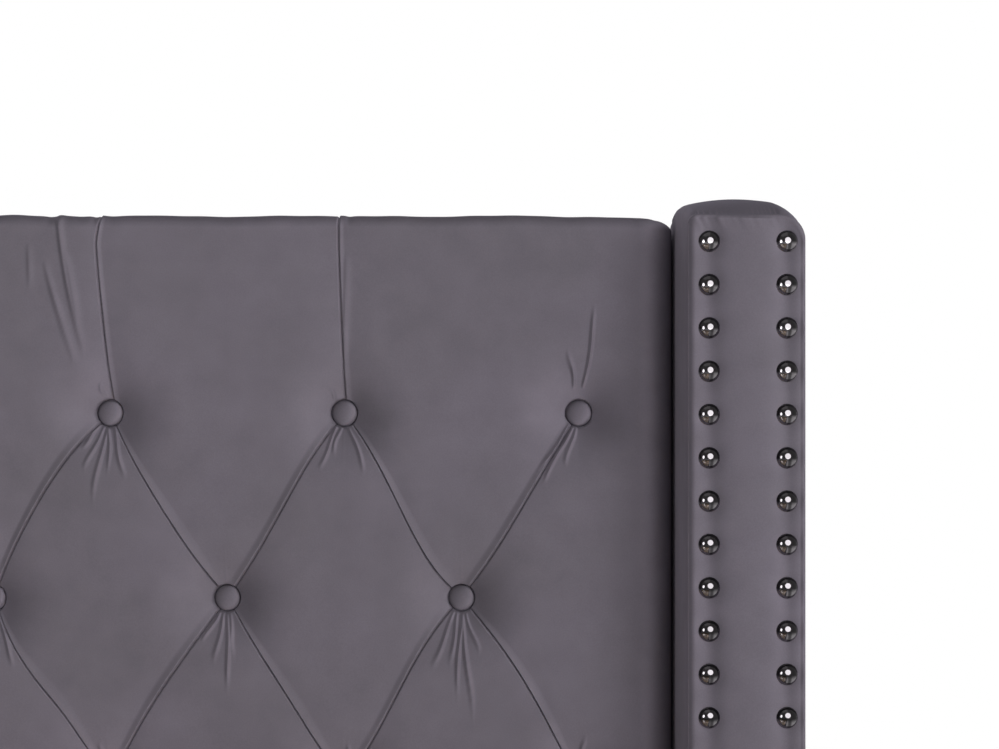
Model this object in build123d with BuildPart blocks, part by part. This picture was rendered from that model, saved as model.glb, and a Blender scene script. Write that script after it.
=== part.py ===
"""Upholstered storage bed for a 1600 x 2000 mm mattress.

A tufted headboard stands between two upholstered wings with studded fronts. Padded side rails
and a foot rail make a box with a board floor, and a sprung slat platform on two gas struts
tilts up from the foot end to open it. Millimetres, +Z up. The headboard faces -Y and the
foot of the bed is at -Y. The origin is on the floor, at the centre of the bed's length and width.
"""

import os
from math import asin, atan2, cos, degrees, hypot, radians, sin, sqrt

from build123d import *

# Mattress that the bed takes
mattress_width = 1600.0
mattress_length = 2000.0
mattress_side_gap = 6.0
mattress_end_gap = 10.0

# Heights above the floor
bed_height = 1280.0
rail_bottom = 40.0
rail_height = 340.0
mattress_recess = 55.0

# Headboard layers, back to front
rear_cover_thickness = 2.0
stile_thickness = 28.0
stile_width = 70.0
crossrail_height = 70.0
front_board_thickness = 9.0
pad_depth = 60.0
frame_below_top = 35.0
board_foot_gap = 20.0
crossrail_shares = (0.0, 0.24, 0.62, 1.0)
wing_bolt_shares = (0.12, 0.5, 0.88)

# Tufted pad
pad_below_crest = 12.5
pad_side_gap = 1.0
pad_edge_radius = 20.0
pad_side_radius = 42.0
pad_corner_radius = 30.0
pad_base_gap = 5.0
top_cap_corner_share = 0.9
tuft_columns = 8
tuft_side_margin = 85.0
tuft_row_pitch = 162.5
tuft_top_margin = 174.5
tuft_bottom_margin = 200.0
dimple_radius = 62.0
dimple_depth = 20.0
dimple_rim_lift = 0.1
crease_half_width = 26.0
crease_depth = 5.0
crease_lift = 2.0
button_diameter = 23.5
button_height = 8.0
button_edge = 2.5
button_shoulder_share = 0.6
seat_margin = 1.0
tie_diameter = 2.4
tie_hole_clearance = 0.3
toggle_diameter = 16.0
toggle_thickness = 3.0

# Lower panel of the headboard, behind the storage box
apron_thickness = 12.0
apron_side_gap = 4.0
apron_edge_radius = 4.0

# Wings
wing_width = 94.0
wing_projection = 100.0
wing_front_drop = 22.0
wing_back_drop = 2.0
wing_crest_run = 92.0
wing_outer_corner = 28.0
wing_inner_corner = 10.0
wing_front_padding = 8.0
wing_side_padding = 5.0
wing_edge_inset = 6.0
wing_edge_steps = ((0.3, 0.45), (1.0, 0.05))
wing_crest_step = (0.5, 0.75)
wing_board_thickness = 12.0
wing_foot_block = 20.0
wing_bolt_setback = 19.0
glide_height = 12.0
glide_diameter = 40.0
glide_chamfer = 2.0

# Studs on the wings
stud_diameter = 17.5
stud_height = 6.5
stud_wall = 0.8
stud_middle_share = 0.6
stud_shank_diameter = 2.0
stud_shank_length = 16.0
stud_hole_clearance = 0.1
stud_pitch = 35.1
stud_column_spacing = 63.0
stud_top_margin = 23.0
stud_clear_of_rail = 24.0

# Side rails and foot rail
rail_lip = 3.0
rail_lip_height = 60.0
rail_board_thickness = 22.0
rail_padding = 12.0
rail_base_padding = 3.0
rail_corner_radius = 10.0
rail_small_radius = 2.5
rail_top_edge_radius = 8.0

# Storage floor
ledger_width = 25.0
ledger_height = 20.0
ledger_lift = 6.0
floor_thickness = 6.0
floor_panels = 4
floor_side_gap = 2.0
floor_joint_gap = 1.0
beam_width = 60.0
beam_leg_diameter = 45.0
beam_leg_chamfer = 4.0
beam_legs = 3

# Feet under the rails
foot_top_width = 52.0
foot_floor_width = 40.0
foot_inset = 34.0

# Lifting platform
platform_side_gap = 34.0
platform_head_gap = 12.0
platform_foot_gap = 42.0
tube_width = 20.0
tube_height = 40.0
tube_wall = 1.5
plug_depth = 12.0
plug_lip = 2.0
centre_tube_width = 40.0
slat_width = 53.0
slat_thickness = 8.0
slat_bow = 8.0
slat_pairs = 14
slat_end_margin = 56.0
cap_base = 4.0
cap_wall = 3.0
cap_bite = 16.0
cap_reach = 10.0
cap_clearance = 1.0
strap_thickness = 2.0
strap_span = 130.0
strap_rise = 18.0
strap_tail = 26.0

# Lifting linkage, set out from the crank pivot: along is towards the foot, up is above the pivot
crank_setback = 443.0
crank_pivot_height = 202.0
crank_along = -130.0
crank_up = 90.3
link_foot_along = 44.4
link_foot_drop = 91.7
link_along = -167.1
link_up = 140.3
arm_hole_along = -122.6
arm_hole_up = 49.0
strut_lead = 80.0
lift_angle = 60.0
linkage_thickness = 4.0
linkage_gap = 0.5
crank_width = 26.0
link_width = 24.0
pivot_diameter = 12.0
pin_diameter = 10.0
pivot_clearance = 0.06
link_hole_clearance = 0.6
pin_head_thickness = 3.0
collar_diameter = 18.0
washer_gap = 0.3
strut_plane_gap = 1.0
pin_head_radius = 6.5

# Hinge plate and lifting arm outlines, as distances from the pivots along and up
plate_corner_radius = 12.0
plate_reach_past_strut = 54.0
plate_reach_past_link = 55.0
plate_drop_below_strut = 13.5
plate_rise_above_strut = 36.0
plate_rise = 44.0
plate_crown_along = (-26.4, 48.4)
bolt_beside_strut = (-36.0, 13.5)
bolt_under_crank = (-44.0, 5.4)
bolt_past_link = (35.2, 26.4)
bolt_over_crank = (30.8, 26.4)
arm_corner_radius = 8.0
arm_weld_lift = 10.0
arm_reach_to_head = 79.2
arm_reach_to_foot = 83.6
arm_tab_half = 18.0
arm_tab_drop = 13.5

# Gas struts
cylinder_diameter = 18.0
cylinder_wall = 1.5
cylinder_length = 172.0
strut_rod_diameter = 8.0
rod_clearance = 0.08
gland_length = 10.0
strut_eye_radius = 9.0
strut_eye_thickness = 10.0
strut_neck = 12.0
strut_neck_share = 1.2
rod_overrun = 20.0

# Brackets and fasteners
bracket_leg = 60.0
bracket_height = 150.0
bracket_thickness = 3.0
bracket_bolt_reach = 36.0
bracket_bolt_offset = 37.5
splice_height = 120.0
splice_reach = 70.0
splice_bend = 8.0
splice_bolt_offset = 30.0
bolt_diameter = 8.0
bolt_hole_clearance = 0.3
bolt_head_diameter = 13.0
bolt_head_height = 3.0
rest_block_width = 56.0
rest_block_length = 60.0
rest_block_height = 70.0
bumper_thickness = 6.0
bumper_inset = 7.0
rest_gap = 0.3

cut_overrun = 1.0

# Planes and levels that several pieces share
inner_half = mattress_width / 2 + mattress_side_gap
rail_thickness = rail_lip + rail_board_thickness + rail_padding
rail_outer = inner_half + rail_thickness
rail_top = rail_bottom + rail_height
headboard_depth = rear_cover_thickness + stile_thickness + front_board_thickness + pad_depth
bed_length = headboard_depth + mattress_length + mattress_end_gap + rail_thickness
back_y = bed_length / 2
stile_back_y = back_y - rear_cover_thickness
board_back_y = stile_back_y - stile_thickness
pad_back_y = board_back_y - front_board_thickness
pad_front_y = pad_back_y - pad_depth
wing_front_y = pad_front_y - wing_projection
foot_inner_y = pad_front_y - mattress_length - mattress_end_gap
foot_outer_y = foot_inner_y - rail_thickness
pad_top = bed_height - pad_below_crest
frame_top = bed_height - frame_below_top
slat_top = rail_top - mattress_recess
tube_top = slat_top - slat_thickness - cap_base
tube_bottom = tube_top - tube_height
pad_bottom = slat_top + pad_base_gap
board_bottom = rail_bottom + board_foot_gap
ledger_bottom = rail_bottom + ledger_lift
ledger_top = ledger_bottom + ledger_height
floor_top = ledger_top + floor_thickness
board_inner = inner_half + rail_lip
wing_outer = inner_half + wing_width
pad_half = inner_half - pad_side_gap
wing_board_inner = inner_half + wing_side_padding
wing_board_outer = wing_outer - wing_side_padding
wing_frame_front = wing_front_y + wing_front_padding
wing_bolt_y = stile_back_y - wing_bolt_setback
bolt_hole_radius = bolt_diameter / 2 + bolt_hole_clearance
board_low = rail_bottom + rail_base_padding
board_high = rail_top - rail_padding
foot_board_inner = foot_inner_y - rail_lip
rail_fixing_z = (floor_top + rail_top - rail_lip_height) / 2
apron_front_y = pad_back_y - apron_thickness

# Tuft grid
tuft_pitch = 2 * (inner_half - tuft_side_margin) / (tuft_columns - 1)
first_row_z = pad_top - tuft_top_margin
tuft_rows = int((pad_top - pad_bottom - tuft_top_margin - tuft_bottom_margin) / tuft_row_pitch) + 1
seat_radius = button_diameter / 2 + seat_margin
seat_y = pad_front_y + dimple_depth

# Platform outline and hinge points
platform_half = inner_half - platform_side_gap
platform_head_y = pad_front_y - platform_head_gap
platform_foot_y = foot_inner_y + platform_foot_gap
head_tube_y = platform_head_y - plug_lip - tube_width
foot_tube_y = platform_foot_y + plug_lip
tube_inner = platform_half - tube_width
tube_span = (tube_bottom, tube_top)
slat_start = centre_tube_width / 2 - cap_bite + cap_reach
slat_end = platform_half - cap_bite / 2
slat_low = tube_top + cap_base
rest_top = tube_bottom - rest_gap
pivot_y = platform_head_y - crank_setback
pivot_z = crank_pivot_height
crank_radius = hypot(crank_along, crank_up)
strut_turn = atan2(crank_up, crank_along) + radians(strut_lead)
strut_foot_along = crank_radius * cos(strut_turn)
strut_foot_up = crank_radius * sin(strut_turn)
strut_foot = Vector(0, pivot_y - strut_foot_along, pivot_z + strut_foot_up)
strut_head = Vector(0, pivot_y - crank_along, pivot_z + crank_up)
link_foot = Vector(0, pivot_y - link_foot_along, pivot_z - link_foot_drop)
link_head = link_foot + Vector(0, -link_along, link_up)
arm_hole = Vector(0, pivot_y - arm_hole_along, pivot_z + arm_hole_up)
strut_length = (strut_head - strut_foot).length
closed_half_angle = radians(strut_lead) / 2
open_half_angle = closed_half_angle + radians(lift_angle) / 2
stroke = 2 * crank_radius * (sin(open_half_angle) - sin(closed_half_angle))

# Layers of the linkage across the bed, from the platform out to the rail
arm_outer = platform_half + linkage_thickness
link_inner = arm_outer + linkage_gap
link_outer = link_inner + linkage_thickness
crank_inner = link_outer + linkage_gap
crank_outer = crank_inner + linkage_thickness
hinge_plate_inner = board_inner - linkage_thickness
strut_x = hinge_plate_inner - strut_plane_gap - cylinder_diameter / 2
eye_inner = strut_x - strut_eye_thickness / 2 - washer_gap
eye_outer = strut_x + strut_eye_thickness / 2 + washer_gap


def row_points(row):
    """Button centres of one tuft row, as X positions and the row's height."""
    count = tuft_columns - row % 2
    z = first_row_z - row * tuft_row_pitch
    return [((column - (count - 1) / 2) * tuft_pitch, z) for column in range(count)]


def tuft_points():
    """Every button centre on the headboard."""
    return [point for row in range(tuft_rows) for point in row_points(row)]


def has_button(points, x):
    """Whether a tuft row has a button at this X position."""
    return any(abs(x - point[0]) < seat_margin for point in points)


def diagonal_lines():
    """Start and end of each straight crease that runs through two or more buttons."""
    rows = [row_points(row) for row in range(tuft_rows)]
    lines = []
    for side in (1, -1):
        step = side * tuft_pitch / 2
        for row, points in enumerate(rows):
            for x, z in points:
                if row > 0 and has_button(rows[row - 1], x - step):
                    continue
                reach = row
                while reach + 1 < tuft_rows and has_button(rows[reach + 1], x + (reach + 1 - row) * step):
                    reach += 1
                if reach > row:
                    end = (x + (reach - row) * step, z - (reach - row) * tuft_row_pitch)
                    lines.append(((x, z), end))
    return lines


def upright_lines():
    """Creases from the first row up over the top edge, and from the last row down to the base."""
    top_row = row_points(0)[1:-1]
    bottom_row = row_points(tuft_rows - 1)
    up = [((x, z), (x, pad_top + pad_edge_radius)) for x, z in top_row]
    down = [((x, z), (x, pad_bottom - pad_edge_radius)) for x, z in bottom_row]
    return up + down


def save(piece, name):
    """Label one finished piece and write it under its node name."""
    piece.part.label = name
    export_step(piece.part, f"parts/{name}.step")


def block(x, y, z):
    """A plain box between three pairs of limits, inside the current part."""
    with Locations(((x[0] + x[1]) / 2, (y[0] + y[1]) / 2, (z[0] + z[1]) / 2)):
        Box(abs(x[1] - x[0]), abs(y[1] - y[0]), abs(z[1] - z[0]))


def carve(x, y, z):
    """Cut a plain box between three pairs of limits out of the current part."""
    with Locations(((x[0] + x[1]) / 2, (y[0] + y[1]) / 2, (z[0] + z[1]) / 2)):
        Box(abs(x[1] - x[0]), abs(y[1] - y[0]), abs(z[1] - z[0]), mode=Mode.SUBTRACT)


def along_x(side, start, end, y, z, radius, mode=Mode.ADD):
    """A round bar along X between two distances from the centre plane, on one side of the bed."""
    with Locations(Location((side * (start + end) / 2, y, z), (0, 90, 0))):
        Cylinder(radius, abs(end - start), mode=mode)


# Headboard


def stile_bolt_places():
    """Heights of the bolts that hold each wing to its stile."""
    span = frame_top - board_bottom
    return [board_bottom + span * share for share in wing_bolt_shares]


def make_stiles():
    with BuildPart() as stiles:
        for side in (1, -1):
            block(
                (side * (inner_half - stile_width), side * inner_half),
                (board_back_y, stile_back_y),
                (glide_height, frame_top),
            )
            for z in stile_bolt_places():
                along_x(
                    side,
                    inner_half - stile_width - cut_overrun,
                    inner_half + cut_overrun,
                    wing_bolt_y,
                    z,
                    bolt_hole_radius,
                    Mode.SUBTRACT,
                )
    save(stiles, "headboard_stiles")


def make_crossrails():
    reach = inner_half - stile_width
    travel = frame_top - board_bottom - crossrail_height
    with BuildPart() as crossrails:
        for share in crossrail_shares:
            low = board_bottom + travel * share
            block((-reach, reach), (board_back_y, stile_back_y), (low, low + crossrail_height))
        with Locations(*[(x, board_back_y, z) for x, z in tuft_points()]):
            Cylinder(
                toggle_diameter / 2 + seat_margin,
                2 * (toggle_thickness + cut_overrun),
                rotation=(90, 0, 0),
                mode=Mode.SUBTRACT,
            )
    save(crossrails, "headboard_crossrails")


def make_front_board():
    with BuildPart() as front_board:
        block((-pad_half, pad_half), (pad_back_y, board_back_y), (board_bottom, frame_top))
        with Locations(*[(x, (pad_back_y + board_back_y) / 2, z) for x, z in tuft_points()]):
            Cylinder(
                tie_diameter / 2 + tie_hole_clearance,
                front_board_thickness + 2 * cut_overrun,
                rotation=(90, 0, 0),
                mode=Mode.SUBTRACT,
            )
    save(front_board, "headboard_front_board")


def crease_tool(start, end):
    """A long cusp-shaped cutter that presses one crease into the front of the pad."""
    run = Vector(end[0] - start[0], 0, end[1] - start[1])
    forward = run.normalized()
    across = forward.cross(Vector(0, -1, 0))
    plane = Plane(
        origin=(start[0], pad_front_y, start[1]), x_dir=(across.X, across.Y, across.Z), z_dir=forward
    )
    outward = plane.to_local_coords(Vector(start[0], pad_front_y - cut_overrun, start[1])).Y
    out = 1 if outward > 0 else -1
    half = crease_half_width
    sag = crease_lift / 2
    with BuildPart(mode=Mode.PRIVATE) as tool:
        with BuildSketch(plane):
            with BuildLine():
                Polyline(
                    (-half, out * crease_lift),
                    (half, out * crease_lift),
                )
                ThreePointArc(
                    (half, out * crease_lift),
                    (half / 2, out * (crease_lift / 2 - crease_depth / 2 + sag)),
                    (0, -out * crease_depth),
                )
                ThreePointArc(
                    (0, -out * crease_depth),
                    (-half / 2, out * (crease_lift / 2 - crease_depth / 2 + sag)),
                    (-half, out * crease_lift),
                )
            make_face()
        extrude(amount=run.length)
    return tool.part


def dimple_tool():
    """A funnel with a convex wall, a flat seat for the button and a hole for its tie."""
    hole = tie_diameter / 2 + tie_hole_clearance
    rim = dimple_radius
    fall = dimple_depth
    bend = ((rim - seat_radius) ** 2 + fall**2) / (2 * fall)
    half_turn = asin((rim - seat_radius) / bend) / 2
    middle = (rim - bend * sin(half_turn), -bend * (1 - cos(half_turn)))
    with BuildPart(mode=Mode.PRIVATE) as tool:
        with BuildSketch(Plane.XY):
            with BuildLine():
                Polyline(
                    (seat_radius, -fall),
                    (hole, -fall),
                    (hole, -pad_depth - cut_overrun),
                    (0, -pad_depth - cut_overrun),
                    (0, crease_lift),
                    (rim, crease_lift),
                    (rim, dimple_rim_lift),
                )
                ThreePointArc(
                    (rim, dimple_rim_lift),
                    middle,
                    (seat_radius, -fall),
                )
            make_face()
        revolve(axis=Axis.Y)
    return tool.part


def make_tufted_pad():
    with BuildPart() as pad:
        with BuildSketch(Plane.XZ.offset(-pad_back_y)) as face:
            with Locations((0, (pad_bottom + pad_top) / 2)):
                Rectangle(2 * pad_half, pad_top - pad_bottom)
            fillet(face.vertices().group_by(Axis.Y)[-1], pad_corner_radius)
        extrude(amount=pad_depth)
        front = pad.faces().sort_by(Axis.Y)[0]
        fillet(front.edges().sort_by(Axis.Z)[1:], pad_edge_radius)
        with BuildSketch(Plane.XY.offset(pad_bottom)) as plan:
            with Locations((0, (pad_front_y + pad_back_y) / 2)):
                Rectangle(2 * pad_half, pad_depth)
            fillet(plan.vertices().group_by(Axis.Y)[0], pad_side_radius)
        extrude(amount=pad_top - pad_bottom, mode=Mode.INTERSECT)
        with BuildSketch(Plane.XZ.offset(-stile_back_y)) as cap:
            with Locations((0, (frame_top + pad_top) / 2)):
                Rectangle(2 * pad_half, pad_top - frame_top)
            fillet(cap.vertices().group_by(Axis.Y)[-1], (pad_top - frame_top) * top_cap_corner_share)
        extrude(amount=stile_back_y - pad_back_y)
        creases = [crease_tool(*line) for line in diagonal_lines() + upright_lines()]
        add(creases, mode=Mode.SUBTRACT)
        funnel = dimple_tool()
        places = [Location((x, pad_front_y, z), (180, 0, 0)) for x, z in tuft_points()]
        add([funnel.moved(place) for place in places], mode=Mode.SUBTRACT)
    save(pad, "headboard_tufted_pad")


def make_buttons():
    radius = button_diameter / 2
    rim = radius - button_edge / 2
    shoulder = button_height * button_shoulder_share
    rise = button_height - shoulder
    crown = (rim**2 + rise**2) / (2 * rise)
    with BuildPart() as buttons:
        with BuildSketch(Plane.XY):
            with BuildLine():
                Polyline((0, button_height), (0, 0), (radius - button_edge, 0), (radius, button_edge))
                Line((radius, button_edge), (rim, shoulder))
                ThreePointArc(
                    (rim, shoulder),
                    (rim / 2, button_height - crown + sqrt(crown**2 - (rim / 2) ** 2)),
                    (0, button_height),
                )
            make_face()
        dome = revolve(axis=Axis.Y, mode=Mode.PRIVATE)
        add([dome.moved(Location((x, seat_y, z), (180, 0, 0))) for x, z in tuft_points()])
    save(buttons, "headboard_buttons")


def make_button_ties():
    cord_end = board_back_y + toggle_thickness
    with BuildPart() as ties:
        with Locations(*[(x, (seat_y + board_back_y) / 2, z) for x, z in tuft_points()]):
            Cylinder(tie_diameter / 2, board_back_y - seat_y, rotation=(90, 0, 0))
        with Locations(*[(x, (board_back_y + cord_end) / 2, z) for x, z in tuft_points()]):
            Cylinder(toggle_diameter / 2, toggle_thickness, rotation=(90, 0, 0))
    save(ties, "headboard_button_ties")


def make_apron():
    half = inner_half - apron_side_gap
    with BuildPart() as apron:
        block((-half, half), (pad_back_y - apron_thickness, pad_back_y), (board_bottom, pad_bottom))
        front = apron.faces().sort_by(Axis.Y)[0]
        fillet(front.edges(), apron_edge_radius)
    save(apron, "headboard_apron")


def make_rear_cover():
    half = wing_outer - wing_side_padding
    low = board_bottom
    with BuildPart() as rear_cover:
        with BuildSketch(Plane.XZ.offset(-back_y)):
            with Locations((0, (low + frame_top) / 2)):
                RectangleRounded(2 * half, frame_top - low, wing_inner_corner)
        extrude(amount=rear_cover_thickness)
    save(rear_cover, "headboard_rear_cover")


# Wings


def wing_section(side, depth, inset, top):
    """Outline of a wing at one depth, seen from the front, with its two rounded top corners."""
    low = glide_height
    x_inner = side * (inner_half + inset)
    x_outer = side * (wing_outer - inset)
    high = top - inset
    turn = 1 - sin(radians(45))
    with BuildSketch(Plane.XZ.offset(-(wing_front_y + depth))) as section:
        with BuildLine():
            Polyline(
                (x_inner, high - wing_inner_corner),
                (x_inner, low),
                (x_outer, low),
                (x_outer, high - wing_outer_corner),
            )
            ThreePointArc(
                (x_outer, high - wing_outer_corner),
                (x_outer - side * wing_outer_corner * turn, high - wing_outer_corner * turn),
                (x_outer - side * wing_outer_corner, high),
            )
            Line((x_outer - side * wing_outer_corner, high), (x_inner + side * wing_inner_corner, high))
            ThreePointArc(
                (x_inner + side * wing_inner_corner, high),
                (x_inner + side * wing_inner_corner * turn, high - wing_inner_corner * turn),
                (x_inner, high - wing_inner_corner),
            )
        make_face()
    return section.sketch.face()


def wing_profile():
    """Depth from the front, inset and top height of each section of a wing's cover."""
    front_top = bed_height - wing_front_drop
    depth = headboard_depth + wing_projection - rear_cover_thickness
    soft = wing_edge_inset
    edge = [(soft * run, soft * inset, front_top) for run, inset in wing_edge_steps]
    run, rise = wing_crest_step
    return [
        (0, soft, front_top),
        *edge,
        (wing_crest_run * run, 0, front_top + wing_front_drop * rise),
        (wing_crest_run, 0, bed_height),
        (depth, 0, bed_height - wing_back_drop),
    ]


def stud_places(side):
    """Centres of the studs on one wing, in two columns."""
    centre = side * (inner_half + wing_width / 2)
    first = bed_height - wing_front_drop - stud_top_margin
    count = int((first - rail_top - stud_clear_of_rail) / stud_pitch) + 1
    columns = (centre - stud_column_spacing / 2, centre + stud_column_spacing / 2)
    return [(x, first - n * stud_pitch) for x in columns for n in range(count)]


def stud_holes(side, start, end):
    """Shank holes for one wing's studs between two depths."""
    radius = stud_shank_diameter / 2 + stud_hole_clearance
    with Locations(*[(x, (start + end) / 2, z) for x, z in stud_places(side)]):
        Cylinder(radius, end - start, rotation=(90, 0, 0), mode=Mode.SUBTRACT)


def wing_bolt_holes(side, start, end):
    for z in stile_bolt_places():
        along_x(side, start, end, wing_bolt_y, z, bolt_hole_radius, Mode.SUBTRACT)


def splice_bolt_places():
    """Depth and height of the two bolts that hold a splice plate to its wing."""
    y = wing_front_y + splice_reach / 2
    return [(y, rail_fixing_z + offset) for offset in (splice_bolt_offset, -splice_bolt_offset)]


def splice_wing_holes(side, start, end):
    for y, z in splice_bolt_places():
        along_x(side, start, end, y, z, bolt_hole_radius, Mode.SUBTRACT)


def make_wing_cover(side, name):
    with BuildPart() as cover:
        loft(sections=[wing_section(side, *level) for level in wing_profile()], ruled=True)
        carve(
            (side * wing_board_inner, side * wing_board_outer),
            (wing_frame_front, back_y),
            (glide_height - cut_overrun, frame_top),
        )
        stud_holes(side, wing_front_y - cut_overrun, wing_frame_front + cut_overrun)
        wing_bolt_holes(side, inner_half - cut_overrun, wing_board_inner + cut_overrun)
        splice_wing_holes(side, inner_half - cut_overrun, wing_board_inner + cut_overrun)
    save(cover, name)


def make_wing_frame(side, name):
    """Front, back and side boards with a block at the head and at the foot."""
    t = wing_board_thickness
    with BuildPart() as frame:
        block(
            (side * wing_board_inner, side * wing_board_outer),
            (wing_frame_front, wing_frame_front + t),
            (glide_height, frame_top),
        )
        stud_holes(side, wing_frame_front - cut_overrun, wing_frame_front + t + cut_overrun)
    boards = [frame.part]
    limits = {
        "back": ((wing_board_inner, wing_board_outer), (stile_back_y - t, stile_back_y), (glide_height, frame_top)),
        "inner": (
            (wing_board_inner, wing_board_inner + t),
            (wing_frame_front + t, stile_back_y - t),
            (glide_height, frame_top),
        ),
        "outer": (
            (wing_board_outer - t, wing_board_outer),
            (wing_frame_front + t, stile_back_y - t),
            (glide_height, frame_top),
        ),
        "head": (
            (wing_board_inner + t, wing_board_outer - t),
            (wing_frame_front + t, stile_back_y - t),
            (frame_top - t, frame_top),
        ),
        "foot": (
            (wing_board_inner + t, wing_board_outer - t),
            (wing_frame_front + t, stile_back_y - t),
            (glide_height, glide_height + wing_foot_block),
        ),
    }
    for part_name, (x, y, z) in limits.items():
        with BuildPart() as board:
            block((side * x[0], side * x[1]), y, z)
            if part_name == "inner":
                wing_bolt_holes(side, x[0] - cut_overrun, x[1] + cut_overrun)
                splice_wing_holes(side, x[0] - cut_overrun, x[1] + cut_overrun)
            if part_name == "back":
                wing_bolt_holes(side, x[0] - cut_overrun, x[1] + cut_overrun)
        boards.append(board.part)
    whole = Compound(children=[solid for board in boards for solid in board.solids()])
    whole.label = name
    export_step(whole, f"parts/{name}.step")


def make_wing_studs():
    """Hollow domed nails with pointed shanks, on both wings."""
    radius = stud_diameter / 2
    ball = (radius**2 + stud_height**2) / (2 * stud_height)
    inner_radius = radius - stud_wall
    inner_height = stud_height - stud_wall
    inner_ball = (inner_radius**2 + inner_height**2) / (2 * inner_height)
    half = stud_shank_diameter / 2
    outer_mid = radius * stud_middle_share
    inner_mid = inner_radius * stud_middle_share
    root = inner_height - inner_ball + sqrt(inner_ball**2 - half**2)
    with BuildPart() as studs:
        with BuildSketch(Plane.XY):
            with BuildLine():
                ThreePointArc(
                    (radius, 0),
                    (outer_mid, stud_height - ball + sqrt(ball**2 - outer_mid**2)),
                    (0, stud_height),
                )
                Polyline(
                    (0, stud_height),
                    (0, -stud_shank_length),
                    (half, 2 * half - stud_shank_length),
                    (half, root),
                )
                ThreePointArc(
                    (half, root),
                    (inner_mid, inner_height - inner_ball + sqrt(inner_ball**2 - inner_mid**2)),
                    (inner_radius, 0),
                )
                Line((inner_radius, 0), (radius, 0))
            make_face()
        one = revolve(axis=Axis.Y, mode=Mode.PRIVATE)
        places = [place for side in (1, -1) for place in stud_places(side)]
        add([one.moved(Location((x, wing_front_y, z), (180, 0, 0))) for x, z in places])
    save(studs, "wing_studs")


def make_glides():
    """Floor glides under each wing's foot block and each stile."""
    middle = (wing_board_inner + wing_board_outer) / 2
    with BuildPart() as glides:
        for side in (1, -1):
            for y in (wing_frame_front + glide_diameter / 2, stile_back_y - glide_diameter / 2):
                with Locations((side * middle, y, glide_height / 2)):
                    Cylinder(glide_diameter / 2, glide_height)
        chamfer(glides.faces().group_by(Axis.Z)[0].edges(), glide_chamfer)
    save(glides, "headboard_glides")


def make_wing_bolts():
    """Bolts from inside each stile into a nut inside the wing."""
    head = inner_half - stile_width
    nut = wing_board_inner + wing_board_thickness
    with BuildPart() as bolts:
        for side in (1, -1):
            for z in stile_bolt_places():
                along_x(side, head, nut, wing_bolt_y, z, bolt_diameter / 2)
                along_x(side, head - bolt_head_height, head, wing_bolt_y, z, bolt_head_diameter / 2)
                along_x(side, nut, nut + bolt_head_height, wing_bolt_y, z, bolt_head_diameter / 2)
    save(bolts, "wing_bolts")


# Rails


def hinge_bolt_places():
    """Depth and height of the four bolts of one hinge plate."""
    return [(pivot_y - along, pivot_z + up) for along, up in hinge_bolt_offsets()]


def hinge_bolt_offsets():
    """The same four bolts as distances along and up from the crank's pivot."""
    return [
        (strut_foot_along + bolt_beside_strut[0], strut_foot_up + bolt_beside_strut[1]),
        (bolt_under_crank[0], strut_foot_up + bolt_under_crank[1]),
        (link_foot_along + bolt_past_link[0], bolt_past_link[1] - link_foot_drop),
        bolt_over_crank,
    ]


def rail_board_holes(side):
    """Bolt holes for the hinge plate, splice plate and corner bracket in one side rail."""
    places = hinge_bolt_places() + splice_rail_places() + corner_rail_places()
    for y, z in places:
        along_x(
            side,
            board_inner - cut_overrun,
            board_inner + rail_board_thickness + cut_overrun,
            y,
            z,
            bolt_hole_radius,
            Mode.SUBTRACT,
        )


def splice_rail_places():
    y = wing_front_y - splice_reach / 2
    return [(y, rail_fixing_z + offset) for offset in (splice_bolt_offset, -splice_bolt_offset)]


def corner_rail_places():
    y = foot_board_inner + bracket_bolt_reach
    return [(y, rail_fixing_z + offset) for offset in (bracket_bolt_offset, -bracket_bolt_offset)]


def corner_foot_places():
    x = board_inner - bracket_bolt_reach
    return [(x, rail_fixing_z + offset) for offset in (bracket_bolt_offset, -bracket_bolt_offset)]


def make_side_rail_board(side, name):
    with BuildPart() as board:
        block(
            (side * board_inner, side * (board_inner + rail_board_thickness)),
            (foot_board_inner, wing_front_y),
            (board_low, board_high),
        )
        rail_board_holes(side)
    save(board, name)


def make_side_rail_cover(side, name):
    """Padding round a side rail's board, open on the inside below its lip."""
    inner = side * inner_half
    outer = side * rail_outer
    board_end = side * (board_inner + rail_board_thickness)
    lip_low = rail_top - rail_lip_height
    with BuildPart() as cover:
        with BuildSketch(Plane.XZ.offset(-wing_front_y)) as section:
            with Locations(((inner + outer) / 2, (rail_bottom + rail_top) / 2)):
                Rectangle(rail_thickness, rail_height)
            across = section.vertices().group_by(Axis.X)
            fillet(across[-1] if side > 0 else across[0], rail_corner_radius)
            across = section.vertices().group_by(Axis.X)
            fillet(across[0] if side > 0 else across[-1], rail_small_radius)
            with Locations(((side * board_inner + board_end) / 2, (board_low + board_high) / 2)):
                Rectangle(rail_board_thickness, board_high - board_low, mode=Mode.SUBTRACT)
            with Locations(((inner + side * board_inner) / 2, (board_low + lip_low) / 2)):
                Rectangle(rail_lip + 2 * cut_overrun, lip_low - board_low, mode=Mode.SUBTRACT)
        extrude(amount=wing_front_y - foot_inner_y)
    save(cover, name)


def make_foot_rail_board():
    half = board_inner + rail_board_thickness
    with BuildPart() as board:
        block(
            (-half, half),
            (foot_board_inner - rail_board_thickness, foot_board_inner),
            (board_low, board_high),
        )
        for side in (1, -1):
            for x, z in corner_foot_places():
                with Locations((side * x, foot_board_inner - rail_board_thickness / 2, z)):
                    Cylinder(
                        bolt_hole_radius,
                        rail_board_thickness + 2 * cut_overrun,
                        rotation=(90, 0, 0),
                        mode=Mode.SUBTRACT,
                    )
    save(board, "foot_rail_board")


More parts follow.
